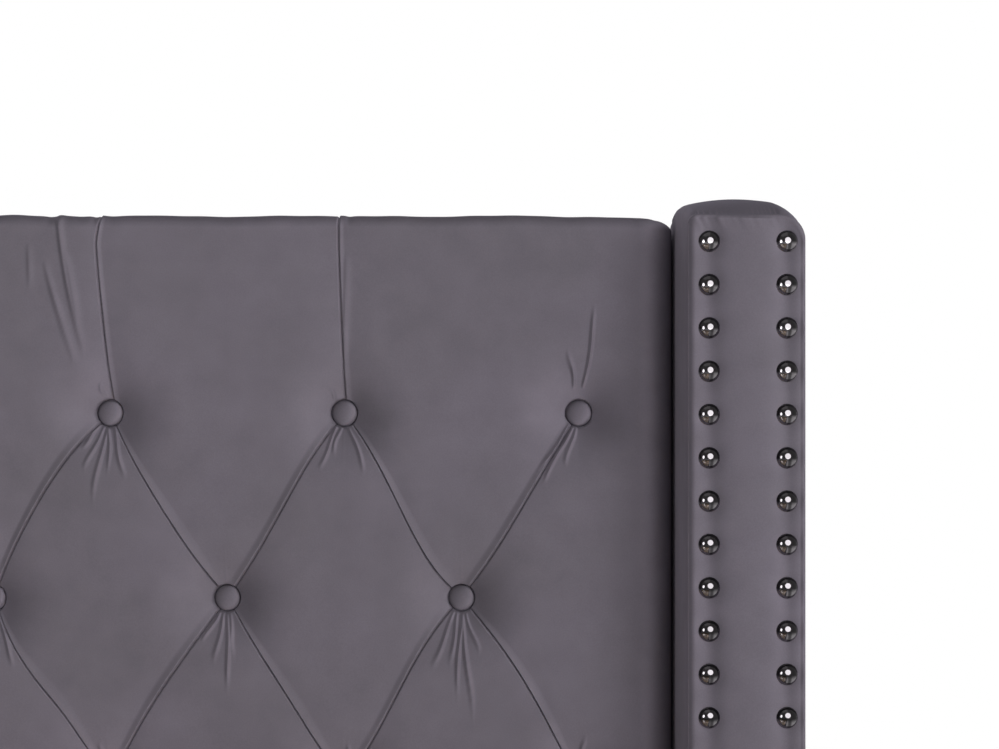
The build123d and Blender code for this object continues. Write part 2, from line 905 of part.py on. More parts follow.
def make_foot_rail_cover():
    """The foot rail's padding wraps the front, the top, the base and both ends of its board."""
    half_board = board_inner + rail_board_thickness
    with BuildPart() as cover:
        block((-rail_outer, rail_outer), (foot_outer_y, foot_inner_y), (rail_bottom, rail_top))
        uprights = cover.edges().filter_by(Axis.Z).group_by(Axis.Y)[0]
        fillet(uprights, rail_corner_radius)
        front_top = cover.faces().sort_by(Axis.Z)[-1].edges()
        fillet(front_top.group_by(Axis.Y)[0], rail_top_edge_radius)
        carve(
            (-half_board, half_board),
            (foot_board_inner - rail_board_thickness, foot_board_inner),
            (board_low, board_high),
        )
        carve(
            (-half_board, half_board),
            (foot_board_inner - cut_overrun, foot_inner_y + cut_overrun),
            (board_low, rail_top - rail_lip_height),
        )
        for side in (1, -1):
            carve(
                (side * inner_half, side * half_board),
                (foot_board_inner - cut_overrun, foot_inner_y + cut_overrun),
                (board_low, board_high),
            )
    save(cover, "foot_rail_cover")


def make_splice_plates():
    """Cranked steel plates that carry each side rail on the inner face of its wing."""
    rail_face = board_inner
    wing_face = inner_half
    t = bracket_thickness
    y0 = wing_front_y - splice_reach
    y1 = wing_front_y - splice_bend
    y2 = wing_front_y
    y3 = wing_front_y + splice_reach
    with BuildPart() as plates:
        for side in (1, -1):
            with BuildSketch(Plane.XY.offset(rail_fixing_z - splice_height / 2)):
                with BuildLine():
                    Polyline(
                        (side * rail_face, y0),
                        (side * rail_face, y1),
                        (side * wing_face, y2),
                        (side * wing_face, y3),
                        (side * (wing_face - t), y3),
                        (side * (wing_face - t), y2),
                        (side * (rail_face - t), y1),
                        (side * (rail_face - t), y0),
                        close=True,
                    )
                make_face()
            extrude(amount=splice_height)
            for y, z in splice_bolt_places() + splice_rail_places():
                along_x(
                    side,
                    wing_face - 2 * t,
                    rail_face + cut_overrun,
                    y,
                    z,
                    bolt_hole_radius,
                    Mode.SUBTRACT,
                )
    save(plates, "rail_splice_plates")


def make_corner_brackets():
    """Steel angles inside the two foot corners."""
    low = rail_fixing_z - bracket_height / 2
    high = rail_fixing_z + bracket_height / 2
    with BuildPart() as brackets:
        for side in (1, -1):
            block(
                (side * (board_inner - bracket_thickness), side * board_inner),
                (foot_board_inner, foot_board_inner + bracket_leg),
                (low, high),
            )
            block(
                (side * (board_inner - bracket_leg), side * board_inner),
                (foot_board_inner, foot_board_inner + bracket_thickness),
                (low, high),
            )
            for y, z in corner_rail_places():
                along_x(
                    side,
                    board_inner - bracket_thickness - cut_overrun,
                    board_inner + cut_overrun,
                    y,
                    z,
                    bolt_hole_radius,
                    Mode.SUBTRACT,
                )
            for x, z in corner_foot_places():
                with Locations((side * x, foot_board_inner + bracket_thickness / 2, z)):
                    Cylinder(
                        bolt_hole_radius,
                        bracket_thickness + 2 * cut_overrun,
                        rotation=(90, 0, 0),
                        mode=Mode.SUBTRACT,
                    )
    save(brackets, "foot_corner_brackets")


def make_frame_bolts():
    """Low-headed bolts of the splice plates, corner brackets and hinge plates."""
    depth = board_inner + rail_board_thickness
    faces = [
        (splice_rail_places(), board_inner - bracket_thickness, depth),
        (corner_rail_places(), board_inner - bracket_thickness, depth),
        (hinge_bolt_places(), hinge_plate_inner, depth),
        (splice_bolt_places(), inner_half - bracket_thickness, wing_board_inner + wing_board_thickness),
    ]
    with BuildPart() as bolts:
        for side in (1, -1):
            for places, face, end in faces:
                for y, z in places:
                    along_x(side, face - bolt_head_height, face, y, z, bolt_head_diameter / 2)
                    along_x(side, face, end, y, z, bolt_diameter / 2)
            for x, z in corner_foot_places():
                face = foot_board_inner + bracket_thickness
                back = foot_board_inner - rail_board_thickness
                with Locations((side * x, face + bolt_head_height / 2, z)):
                    Cylinder(bolt_head_diameter / 2, bolt_head_height, rotation=(90, 0, 0))
                with Locations((side * x, (face + back) / 2, z)):
                    Cylinder(bolt_diameter / 2, face - back, rotation=(90, 0, 0))
    save(bolts, "frame_bolts")


# Storage floor and what carries it


def make_ledgers():
    with BuildPart() as ledgers:
        for side in (1, -1):
            block(
                (side * (board_inner - ledger_width), side * board_inner),
                (foot_board_inner, wing_front_y),
                (ledger_bottom, ledger_top),
            )
    save(ledgers, "floor_ledgers")


def make_centre_beam():
    with BuildPart() as beam:
        block(
            (-beam_width / 2, beam_width / 2),
            (foot_board_inner, apron_front_y),
            (board_low, ledger_top),
        )
    save(beam, "centre_beam")


def make_beam_legs():
    height = board_low
    span = apron_front_y - foot_board_inner
    with BuildPart() as legs:
        for n in range(beam_legs):
            y = foot_board_inner + span * (n + 1) / (beam_legs + 1)
            with Locations((0, y, height / 2)):
                Cylinder(beam_leg_diameter / 2, height)
        chamfer(legs.faces().group_by(Axis.Z)[0].edges(), beam_leg_chamfer)
    save(legs, "centre_beam_legs")


def make_floor_panel(number):
    start = foot_board_inner + floor_joint_gap
    span = apron_front_y - floor_joint_gap - start
    length = span / floor_panels
    half = board_inner - floor_side_gap
    with BuildPart() as panel:
        block(
            (-half, half),
            (start + number * length, start + (number + 1) * length - floor_joint_gap),
            (ledger_top, floor_top),
        )
        if number == floor_panels - 1:
            for side in (1, -1):
                carve(
                    (side * (inner_half - bracket_thickness), side * (half + cut_overrun)),
                    (wing_front_y - floor_joint_gap, apron_front_y),
                    (ledger_top - cut_overrun, floor_top + cut_overrun),
                )
    save(panel, f"storage_floor_panel_{number + 1}")


def make_rail_feet():
    """Tapered block feet under the foot corners and half way along the side rails."""
    middle = (inner_half + rail_outer) / 2
    half_way = (foot_outer_y + wing_front_y) / 2
    places = [(side * middle, y) for side in (1, -1) for y in (foot_outer_y + foot_inset, half_way)]
    top_length = min(foot_top_width, rail_thickness)
    with BuildPart() as feet:
        for x, y in places:
            with BuildSketch(Plane.XY):
                with Locations((x, y)):
                    Rectangle(top_length * foot_floor_width / foot_top_width, foot_floor_width)
            with BuildSketch(Plane.XY.offset(rail_bottom)):
                with Locations((x, y)):
                    Rectangle(top_length, foot_top_width)
            loft(ruled=True)
    save(feet, "rail_feet")


# Lifting linkage


def make_hinge_plate(side, name):
    """Steel plate on the side rail that carries the crank, the link and the foot of the strut."""
    low = strut_foot_up - plate_drop_below_strut
    start = strut_foot_along - plate_reach_past_strut
    end = link_foot_along + plate_reach_past_link
    outline = [
        (start, low),
        (end, low),
        (end, plate_rise - link_foot_drop),
        (plate_crown_along[1], plate_rise),
        (plate_crown_along[0], plate_rise),
        (start, strut_foot_up + plate_rise_above_strut),
    ]
    with BuildPart() as plate:
        with BuildSketch(Plane.YZ.offset(side * hinge_plate_inner)) as face:
            with BuildLine():
                Polyline(*[(pivot_y - along, pivot_z + up) for along, up in outline], close=True)
            make_face()
            fillet(face.vertices(), plate_corner_radius)
            with Locations(*hinge_bolt_places()):
                Circle(bolt_hole_radius, mode=Mode.SUBTRACT)
            with Locations((pivot_y, pivot_z), (link_foot.Y, link_foot.Z)):
                Circle(pivot_diameter / 2, mode=Mode.SUBTRACT)
            with Locations((strut_foot.Y, strut_foot.Z)):
                Circle(pin_diameter / 2, mode=Mode.SUBTRACT)
        extrude(amount=side * linkage_thickness)
    save(plate, name)


def make_hinge_pins():
    """Pins riveted into the hinge plates, with the collars that space the moving pieces."""
    with BuildPart() as pins:
        for side in (1, -1):
            along_x(side, crank_inner, board_inner, pivot_y, pivot_z, pivot_diameter / 2)
            along_x(
                side, crank_outer + washer_gap, hinge_plate_inner, pivot_y, pivot_z, collar_diameter / 2
            )
            along_x(side, link_inner, board_inner, link_foot.Y, link_foot.Z, pivot_diameter / 2)
            along_x(
                side, link_outer + washer_gap, hinge_plate_inner, link_foot.Y, link_foot.Z, collar_diameter / 2
            )
            along_x(side, eye_inner, board_inner, strut_foot.Y, strut_foot.Z, pin_diameter / 2)
            along_x(
                side,
                eye_inner - pin_head_thickness,
                eye_inner,
                strut_foot.Y,
                strut_foot.Z,
                collar_diameter / 2,
            )
            along_x(side, eye_outer, hinge_plate_inner, strut_foot.Y, strut_foot.Z, collar_diameter / 2)
    save(pins, "hinge_pins")


def flat_bar(side, inner, start, end, width, hole):
    """A flat steel bar with round ends, on one layer of the linkage, bored at its first end."""
    run = end - start
    middle = (start + end) / 2
    turn = degrees(atan2(run.Z, run.Y))
    x = side * (inner + linkage_thickness / 2)
    with Locations((x, middle.Y, middle.Z)):
        Box(linkage_thickness, run.length, width, rotation=(turn, 0, 0))
    for point in (start, end):
        along_x(side, inner, inner + linkage_thickness, point.Y, point.Z, width / 2)
    along_x(
        side,
        inner - cut_overrun,
        inner + linkage_thickness + cut_overrun,
        start.Y,
        start.Z,
        hole,
        Mode.SUBTRACT,
    )


def make_crank(side, name):
    """Crank that lifts the platform, with the pin that carries the platform and the strut."""
    pivot = Vector(0, pivot_y, pivot_z)
    with BuildPart() as crank:
        flat_bar(side, crank_inner, pivot, strut_head, crank_width, pivot_diameter / 2 + pivot_clearance)
        y, z = strut_head.Y, strut_head.Z
        along_x(side, platform_half + linkage_gap, crank_inner, y, z, pin_diameter / 2)
        along_x(side, crank_outer, eye_outer, y, z, pin_diameter / 2)
        along_x(side, crank_outer, eye_inner, y, z, collar_diameter / 2)
        along_x(side, eye_outer, eye_outer + pin_head_thickness, y, z, pin_head_radius)
    save(crank, name)


def make_link(side, name):
    """Second link, which tilts the platform as the crank lifts it."""
    with BuildPart() as link:
        flat_bar(side, link_inner, link_foot, link_head, link_width, pivot_diameter / 2 + pivot_clearance)
        along_x(
            side, platform_half + linkage_gap, link_inner, link_head.Y, link_head.Z, pin_diameter / 2
        )
    save(link, name)


def make_lift_arm(side, name):
    """Steel plate on the outside of the platform's side tube, with holes for both link pins."""
    top = tube_top - tube_wall - pivot_z
    low = tube_bottom + arm_weld_lift - pivot_z
    start = crank_along - arm_reach_to_head
    end = crank_along + arm_reach_to_foot
    outline = [
        (start, top),
        (end, top),
        (end, low),
        (arm_hole_along + arm_tab_half, arm_hole_up - arm_tab_drop),
        (arm_hole_along - arm_tab_half, arm_hole_up - arm_tab_drop),
        (start, low),
    ]
    with BuildPart() as arm:
        with BuildSketch(Plane.YZ.offset(side * platform_half)) as face:
            with BuildLine():
                Polyline(*[(pivot_y - along, pivot_z + up) for along, up in outline], close=True)
            make_face()
            fillet(face.vertices(), arm_corner_radius)
            with Locations((strut_head.Y, strut_head.Z)):
                Circle(pin_diameter / 2 + pivot_clearance, mode=Mode.SUBTRACT)
            with Locations((arm_hole.Y, arm_hole.Z)):
                Circle(pin_diameter / 2 + link_hole_clearance, mode=Mode.SUBTRACT)
        extrude(amount=side * linkage_thickness)
    save(arm, name)


# Gas struts


def strut_frame(side, at_head):
    """Plane at one end of a strut, with local X along the strut towards its other end."""
    start, end = (strut_head, strut_foot) if at_head else (strut_foot, strut_head)
    run = (end - start).normalized()
    return Plane(
        origin=(side * strut_x, start.Y, start.Z),
        x_dir=(run.X, run.Y, run.Z),
        z_dir=(1, 0, 0),
    )


def strut_bar(plane, start, end, radius, mode=Mode.ADD):
    """A round bar on the strut's axis, between two distances from this end's eye."""
    middle = plane.from_local_coords(Vector((start + end) / 2, 0, 0))
    with Locations(Plane(origin=middle, z_dir=plane.x_dir).location):
        Cylinder(radius, end - start, mode=mode)


def strut_eye(plane):
    """Flat eye that turns on its pin, with a neck into the strut."""
    with Locations(plane.location):
        Cylinder(strut_eye_radius, strut_eye_thickness)
        with Locations((strut_neck / 2, 0, 0)):
            Box(strut_neck, strut_eye_radius * strut_neck_share, strut_eye_thickness)
        Cylinder(
            pin_diameter / 2 + pivot_clearance,
            strut_eye_thickness + 2 * cut_overrun,
            mode=Mode.SUBTRACT,
        )


def make_gas_cylinder(side, name):
    plane = strut_frame(side, False)
    start = strut_neck
    end = start + cylinder_length
    bore = cylinder_diameter / 2 - cylinder_wall
    with BuildPart() as cylinder:
        strut_eye(plane)
        strut_bar(plane, start, end, cylinder_diameter / 2)
        strut_bar(plane, start + gland_length, end - gland_length, bore, Mode.SUBTRACT)
        gland = strut_rod_diameter / 2 + rod_clearance
        strut_bar(plane, end - gland_length - cut_overrun, end + cut_overrun, gland, Mode.SUBTRACT)
    save(cylinder, name)


def make_gas_rod(side, name):
    """Rod with its piston, which stays inside the cylinder over the whole lift."""
    plane = strut_frame(side, True)
    gland_at_rest = strut_length - strut_neck - cylinder_length
    piston_start = gland_at_rest + gland_length + stroke + rod_overrun
    piston_radius = cylinder_diameter / 2 - cylinder_wall - rod_clearance
    with BuildPart() as rod:
        strut_eye(plane)
        strut_bar(plane, strut_neck, piston_start, strut_rod_diameter / 2)
        strut_bar(plane, piston_start, piston_start + gland_length, piston_radius)
    save(rod, name)


# Platform


def tube(x, y, z, axis):
    """A square-cornered steel tube with open ends, inside the current part."""
    block(x, y, z)
    w = tube_wall
    if axis == "y":
        inner = (sorted(x)[0] + w, sorted(x)[1] - w)
        carve(inner, (y[0] - cut_overrun, y[1] + cut_overrun), (z[0] + w, z[1] - w))
    else:
        inner = (y[0] + w, y[1] - w)
        low, high = sorted(x)
        carve((low - cut_overrun, high + cut_overrun), inner, (z[0] + w, z[1] - w))


def make_side_tube(side, name):
    with BuildPart() as part:
        tube(
            (side * tube_inner, side * platform_half),
            (platform_foot_y + plug_lip, platform_head_y - plug_lip),
            tube_span,
            "y",
        )
    save(part, name)


def make_end_tube(start, name):
    with BuildPart() as part:
        tube((-tube_inner, tube_inner), (start, start + tube_width), tube_span, "x")
    save(part, name)


def make_centre_tube():
    half = centre_tube_width / 2
    with BuildPart() as part:
        tube((-half, half), (foot_tube_y + tube_width, head_tube_y), tube_span, "y")
    save(part, "platform_centre_tube")


def make_cross_tubes():
    """Tubes across the middle of the platform, one each side of the centre tube."""
    middle = (head_tube_y + foot_tube_y + tube_width) / 2
    parts = []
    for side in (1, -1):
        with BuildPart() as part:
            tube(
                (side * centre_tube_width / 2, side * tube_inner),
                (middle - tube_width / 2, middle + tube_width / 2),
                tube_span,
                "x",
            )
        parts += part.part.solids()
    whole = Compound(children=parts)
    whole.label = "platform_cross_tubes"
    export_step(whole, "parts/platform_cross_tubes.step")


def make_tube_plugs():
    """Plastic plugs that close the open ends of the side tubes."""
    w = tube_wall
    with BuildPart() as plugs:
        for side in (1, -1):
            for end, inward in ((platform_head_y, -1), (platform_foot_y, 1)):
                face = end + inward * plug_lip
                block((side * tube_inner, side * platform_half), (end, face), tube_span)
                block(
                    (side * (tube_inner + w), side * (platform_half - w)),
                    (face, face + inward * plug_depth),
                    (tube_bottom + w, tube_top - w),
                )
    save(plugs, "tube_end_plugs")


def slat_places():
    """Middle of each pair of slats along the bed."""
    first = foot_tube_y + slat_end_margin
    last = head_tube_y + tube_width - slat_end_margin
    return [first + n * (last - first) / (slat_pairs - 1) for n in range(slat_pairs)]


def make_slats(side, name):
    """Bowed beech slats between the centre tube and one side tube."""
    middle = (slat_start + slat_end) / 2
    with BuildPart() as slats:
        for y in slat_places():
            with BuildSketch(Plane.XZ.offset(-(y + slat_width / 2))):
                with BuildLine():
                    ThreePointArc(
                        (side * slat_start, slat_low),
                        (side * middle, slat_low + slat_bow),
                        (side * slat_end, slat_low),
                    )
                    Line((side * slat_end, slat_low), (side * slat_end, slat_top))
                    ThreePointArc(
                        (side * slat_end, slat_top),
                        (side * middle, slat_top + slat_bow),
                        (side * slat_start, slat_top),
                    )
                    Line((side * slat_start, slat_top), (side * slat_start, slat_low))
                make_face()
            extrude(amount=slat_width)
    save(slats, name)


def make_side_slat_caps():
    """Plastic holders on both side tubes, each with a pocket for one slat end."""
    gap = cap_clearance / 2
    inner_end = tube_inner - cap_reach
    outer = slat_width / 2 + cap_wall
    high = slat_top + cap_clearance + cap_wall
    pocket = slat_width / 2 + cap_clearance / 2
    with BuildPart() as caps:
        for side in (1, -1):
            for y in slat_places():
                block((side * inner_end, side * platform_half), (y - outer, y + outer), (tube_top, high))
                carve(
                    (side * (inner_end - cut_overrun), side * (slat_end + gap)),
                    (y - pocket, y + pocket),
                    (slat_low, slat_top + cap_clearance),
                )
    save(caps, "side_slat_caps")


def make_centre_slat_caps():
    """Plastic holders on the centre tube, each with pockets for two slat ends."""
    gap = cap_clearance / 2
    half = centre_tube_width / 2 + cap_reach
    outer = slat_width / 2 + cap_wall
    high = slat_top + cap_clearance + cap_wall
    pocket = slat_width / 2 + cap_clearance / 2
    with BuildPart() as caps:
        for y in slat_places():
            block((-half, half), (y - outer, y + outer), (tube_top, high))
            for side in (1, -1):
                carve(
                    (side * (slat_start - gap), side * (half + cut_overrun)),
                    (y - pocket, y + pocket),
                    (slat_low, slat_top + cap_clearance),
                )
    save(caps, "centre_slat_caps")


def make_pull_strap():
    """Webbing loop on the foot tube's outer top edge, for lifting the platform."""
    y = foot_tube_y + tube_width / 2
    low = tube_top
    half = strap_span / 2
    t = strap_thickness
    with BuildPart() as strap:
        with BuildSketch(Plane.XZ.offset(-(y + tube_width / 2))):
            with BuildLine():
                ThreePointArc((-half, low + t), (0, low + strap_rise), (half, low + t))
                Polyline(
                    (half, low + t), (half + strap_tail, low + t), (half + strap_tail, low), (half - t, low)
                )
                ThreePointArc((half - t, low), (0, low + strap_rise - t), (t - half, low))
                Polyline(
                    (t - half, low), (-half - strap_tail, low), (-half - strap_tail, low + t), (-half, low + t)
                )
            make_face()
        extrude(amount=tube_width)
    save(strap, "pull_strap")


def rest_block_places():
    """Depth of the blocks on each rail that the closed platform rests on."""
    near_foot = foot_board_inner + bracket_leg + rest_block_length
    return [near_foot, (near_foot + pivot_y) / 2]


def make_rest_blocks():
    with BuildPart() as blocks:
        for side in (1, -1):
            for y in rest_block_places():
                block(
                    (side * (board_inner - rest_block_width), side * board_inner),
                    (y - rest_block_length / 2, y + rest_block_length / 2),
                    (rest_top - bumper_thickness - rest_block_height, rest_top - bumper_thickness),
                )
    save(blocks, "platform_rest_blocks")


def make_bumpers():
    inset = bumper_inset
    with BuildPart() as bumpers:
        for side in (1, -1):
            for y in rest_block_places():
                block(
                    (side * (board_inner - rest_block_width + inset), side * (board_inner - inset)),
                    (y - rest_block_length / 2 + inset, y + rest_block_length / 2 - inset),
                    (rest_top - bumper_thickness, rest_top),
                )
    save(bumpers, "platform_bumpers")


def main():
    os.makedirs("parts", exist_ok=True)
    make_stiles()
    make_crossrails()
    make_front_board()
    make_tufted_pad()
    make_buttons()
    make_button_ties()
    make_apron()
    make_rear_cover()
    make_glides()
    make_wing_studs()
    make_wing_bolts()
    make_foot_rail_board()
    make_foot_rail_cover()
    make_splice_plates()
    make_corner_brackets()
    make_frame_bolts()
    make_ledgers()
    make_hinge_pins()
    make_centre_beam()
    make_beam_legs()
    for number in range(floor_panels):
        make_floor_panel(number)
    make_rail_feet()
    make_rest_blocks()
    make_bumpers()
    make_end_tube(head_tube_y, "platform_head_tube")
    make_end_tube(foot_tube_y, "platform_foot_tube")
    make_centre_tube()
    make_cross_tubes()
    make_tube_plugs()
    make_side_slat_caps()
    make_centre_slat_caps()
    make_pull_strap()
    for side, word in ((1, "right"), (-1, "left")):
        make_wing_frame(side, f"{word}_wing_frame")
        make_wing_cover(side, f"{word}_wing_cover")
        make_side_rail_board(side, f"{word}_side_rail_board")
        make_side_rail_cover(side, f"{word}_side_rail_cover")
        make_hinge_plate(side, f"{word}_hinge_plate")
        make_crank(side, f"{word}_lift_crank")
        make_link(side, f"{word}_lift_link")
        make_lift_arm(side, f"{word}_lift_arm")
        make_gas_cylinder(side, f"{word}_gas_cylinder")
        make_gas_rod(side, f"{word}_gas_rod")
        make_side_tube(side, f"platform_{word}_tube")
        make_slats(side, f"{word}_slats")


main()
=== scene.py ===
"""Looks for the storage bed: velvet padding, tufting, domed nails, slats, steelwork and studio."""

import math
import random

import bmesh
import bpy
import numpy as np
from mathutils import Matrix, Vector


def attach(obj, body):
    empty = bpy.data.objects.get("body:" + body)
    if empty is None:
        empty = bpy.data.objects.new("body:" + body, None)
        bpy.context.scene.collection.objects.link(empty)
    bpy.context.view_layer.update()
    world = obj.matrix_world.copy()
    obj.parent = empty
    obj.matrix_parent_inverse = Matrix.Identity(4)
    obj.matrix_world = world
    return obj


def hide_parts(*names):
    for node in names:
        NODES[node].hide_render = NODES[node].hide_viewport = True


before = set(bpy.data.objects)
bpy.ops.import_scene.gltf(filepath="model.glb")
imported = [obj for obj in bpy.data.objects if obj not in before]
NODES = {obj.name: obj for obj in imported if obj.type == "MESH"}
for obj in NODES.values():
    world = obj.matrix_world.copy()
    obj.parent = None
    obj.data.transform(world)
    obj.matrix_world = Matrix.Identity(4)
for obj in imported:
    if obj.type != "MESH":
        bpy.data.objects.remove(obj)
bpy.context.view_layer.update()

# Bed layout in metres
WING_INNER = 0.806
WING_OUTER = 0.900
WING_FRONT = 0.874
WING_FRONT_TOP = 1.258
PAD_FRONT = 0.974
PAD_BACK = 1.034
PAD_HALF = 0.8045
PAD_TOP = 1.2675
PAD_FOOT = 0.330
SIDE_ROLL = 0.032
TOP_ROLL = 0.0105
LOW_ROLL = 0.014
SIDE_FLAP = 0.0425
TOP_FLAP = 0.088
LOW_FLAP = 0.053
FRAME_TOP = 1.245
LINING_FRONT = 1.071
BED_BACK = 1.073
BED_FOOT = -1.073
FOOT_INNER = -1.036
RAIL_OUTER = 0.843
RAIL_LOW = 0.040
RAIL_TOP = 0.380
RAIL_PAD = 0.0366
LINING_HALF = 0.8945
LINING_TOP = 1.2460
BACK_LOW = 0.0605
APRON_HALF = 0.8015
APRON_FRONT = 1.0222
BOARD_THICK = 0.0098

# Velvet's thickness on wings and rails, and how near two vertices are one
VELVET_WALL = 0.0012
MERGE = 0.00002

# Tufting
BUTTON_TO_WING = 0.085
HALF_PITCH = (WING_INNER - BUTTON_TO_WING) / 7
ROW_PITCH = 0.1625
FIRST_ROW = 1.093
ROWS = 4
DIMPLE = 0.020
HOLLOW_DEPTH = 0.0165
HOLLOW_REACH = 0.070
SEAT_DEPTH = 0.0068
SEAT_RADIUS = 0.0125
SEAT_EDGE = 0.0009
BOW_GAIN = 1.5
CREASE_STEP = 0.00038
CREASE_REACH = 0.035
CREASE_FADE = 0.004
VALLEY_DEPTH = 0.0026
VALLEY_REACH = 0.030
GROOVE_DEPTH = 0.0021
GROOVE_WIDTH = 0.00055
GROOVE_SHIFT = 0.0003
FAN_REACH = 0.115

# Domed nails
NAIL_PITCH = 0.0351
NAIL_TOP = 1.235
NAIL_COLUMNS = (0.8215, 0.8845)
NAIL_COUNT = 24

# Wing covers
WING_LOW = 0.0125
WING_MIDDLE = 0.852
WING_INSET = 0.0032
WING_OUTER_R = 0.0205
WING_INNER_R = 0.0050
WING_SHARE = 1.2
WING_FACE_TOP = WING_FRONT_TOP - 0.0010 - WING_INSET


# Mesh helpers


def linked(name, data):
    """A new object that holds this data, in the scene."""
    obj = bpy.data.objects.new(name, data)
    bpy.context.scene.collection.objects.link(obj)
    return obj


def new_piece(name, bm, body, finish):
    """Turn a bmesh into an object at the origin that rides on a body."""
    bmesh.ops.recalc_face_normals(bm, faces=bm.faces[:])
    mesh = bpy.data.meshes.new(name)
    bm.to_mesh(mesh)
    bm.free()
    obj = linked(name, mesh)
    for poly in mesh.polygons:
        poly.use_smooth = True
    mesh.materials.append(finish)
    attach(obj, body)
    return obj


def fresh_grid(columns, rows):
    """A grid with this many vertices each way, and each vertex's column and row."""
    bm = bmesh.new()
    bmesh.ops.create_grid(bm, x_segments=columns - 1, y_segments=rows - 1, size=0.5)
    co = np.array([v.co for v in bm.verts], float)
    i = np.rint((co[:, 0] + 0.5) * (columns - 1)).astype(int)
    j = np.rint((co[:, 1] + 0.5) * (rows - 1)).astype(int)
    return bm, i, j


def place(bm, x, y, z):
    """Put each vertex at its own coordinates."""
    for vert, px, py, pz in zip(bm.verts, x, y, z):
        vert.co = (px, py, pz)


def unit(t):
    """The value held between 0 and 1."""
    return np.clip(t, 0.0, 1.0)


def smoothstep(t):
    """An eased step from 0 to 1 as t goes from 0 to 1."""
    t = unit(t)
    return t * t * (3 - 2 * t)


def bell(away, width):
    """A smooth bump, 1 in its middle and near 0 from twice its width."""
    return np.exp(-((away / width) ** 2))


def ripple(x, seed, scale):
    """Smooth one-dimensional wandering, the same at each run."""
    total = np.zeros_like(x)
    rng = random.Random(seed)
    for octave in range(4):
        frequency = scale * (1.7**octave)
        total += math.pow(0.6, octave) * np.sin(x * frequency + rng.uniform(0, 6.28))
    return total


def crowded(level, count, half_span, first):
    """Share of a span at each level, its steps growing from the first at both its ends."""
    half = count / 2
    stretch = np.linspace(0.01, 9.0, 900)
    ratio = stretch / np.sinh(stretch)
    wanted = np.clip(first * half / np.maximum(half_span, 1e-6), ratio[-1], ratio[0])
    beta = np.interp(wanted, ratio[::-1], stretch[::-1])
    step = np.minimum(level, count - level)
    share = 0.5 * np.sinh(beta * step / half) / np.sinh(beta)
    return np.where(level <= half, share, 1 - share)


def spun(outline, steps):
    """An outline of (radius, y) spun about the Y axis, its poles closed."""
    bm = bmesh.new()
    verts = [bm.verts.new((r, y, 0)) for r, y in outline]
    for a, b in zip(verts, verts[1:]):
        bm.edges.new((a, b))
    bmesh.ops.spin(
        bm, geom=bm.verts[:] + bm.edges[:], cent=(0, 0, 0), axis=(0, 1, 0),
        angle=2 * math.pi, steps=steps, use_merge=True, use_duplicate=False,
    )
    bmesh.ops.remove_doubles(bm, verts=bm.verts[:], dist=MERGE)
    return bm


def repeated(shape, places, turns=None):
    """One mesh holding a copy of a shape at each place."""
    source = bpy.data.meshes.new("pattern")
    bmesh.ops.recalc_face_normals(shape, faces=shape.faces[:])
    shape.to_mesh(source)
    shape.free()
    bm = bmesh.new()
    for number, spot in enumerate(places):
        first = len(bm.verts)
        bm.from_mesh(source)
        bm.verts.ensure_lookup_table()
        turn = turns(number) if turns else Matrix.Identity(4)
        bmesh.ops.transform(bm, matrix=Matrix.Translation(spot) @ turn, verts=bm.verts[first:])
    bpy.data.meshes.remove(source)
    return bm


def open_edges(bm, wanted=lambda ends: True):
    """The boundary edges whose ends lie where wanted."""
    return [e for e in bm.edges if e.is_boundary and wanted([v.co for v in e.verts])]


def boundary_ring(bm, edges):
    """Pull a run of edges out into a fresh run, and give its vertices paired with the old ones."""
    made = bmesh.ops.extrude_edge_only(bm, edges=edges)
    verts = [g for g in made["geom"] if isinstance(g, bmesh.types.BMVert)]
    fresh = set(verts)
    ring = {e for v in verts for e in v.link_edges if e.verts[0] in fresh and e.verts[1] in fresh}
    pairs = {}
    for vert in verts:
        for edge in vert.link_edges:
            other = edge.other_vert(vert)
            if other not in fresh:
                pairs[vert] = other
    return list(ring), pairs


# Tufted panel


def row_xs(row):
    """Where the buttons of a row lie across the bed."""
    count = 8 - row % 2
    return [(2 * n - (count - 1)) * HALF_PITCH for n in range(count)]


def row_z(row):
    """Height of a row of buttons."""
    return FIRST_ROW - row * ROW_PITCH


BUTTONS = [(x, row_z(row), row) for row in range(ROWS) for x in row_xs(row)]


# Some slanting creases by upper row and half-pitch column: how far the middle lies above the
# chord, and how far the upper half lies above it and the lower half below, before BOW_GAIN
SHOWN_BOWS = {
    (0, 2): (0.0119, 0.0), (0, 3): (-0.0044, 0.0), (0, 4): (0.0008, 0.0028),
    (0, 5): (-0.0030, 0.0050), (0, 6): (-0.0020, 0.0012), (1, 2): (-0.0006, -0.0040),
    (1, 3): (0.0057, -0.0010), (1, 4): (0.0015, 0.0), (1, 5): (0.0049, 0.0037),
    (1, 6): (0.0107, 0.0),
}


def crease_bows():
    """Bow and swing of each slanting crease, by its upper row and half-pitch column plus 8."""
    rng = random.Random(23)
    bows = np.zeros((ROWS - 1, 16, 2))
    for row in range(ROWS - 1):
        for k in range(-8, 8):
            drawn = (rng.uniform(-0.0050, 0.0065), rng.uniform(-0.0030, 0.0030))
            bows[row, k + 8] = SHOWN_BOWS.get((row, k), drawn)
    return bows


CREASE_BOWS = crease_bows()


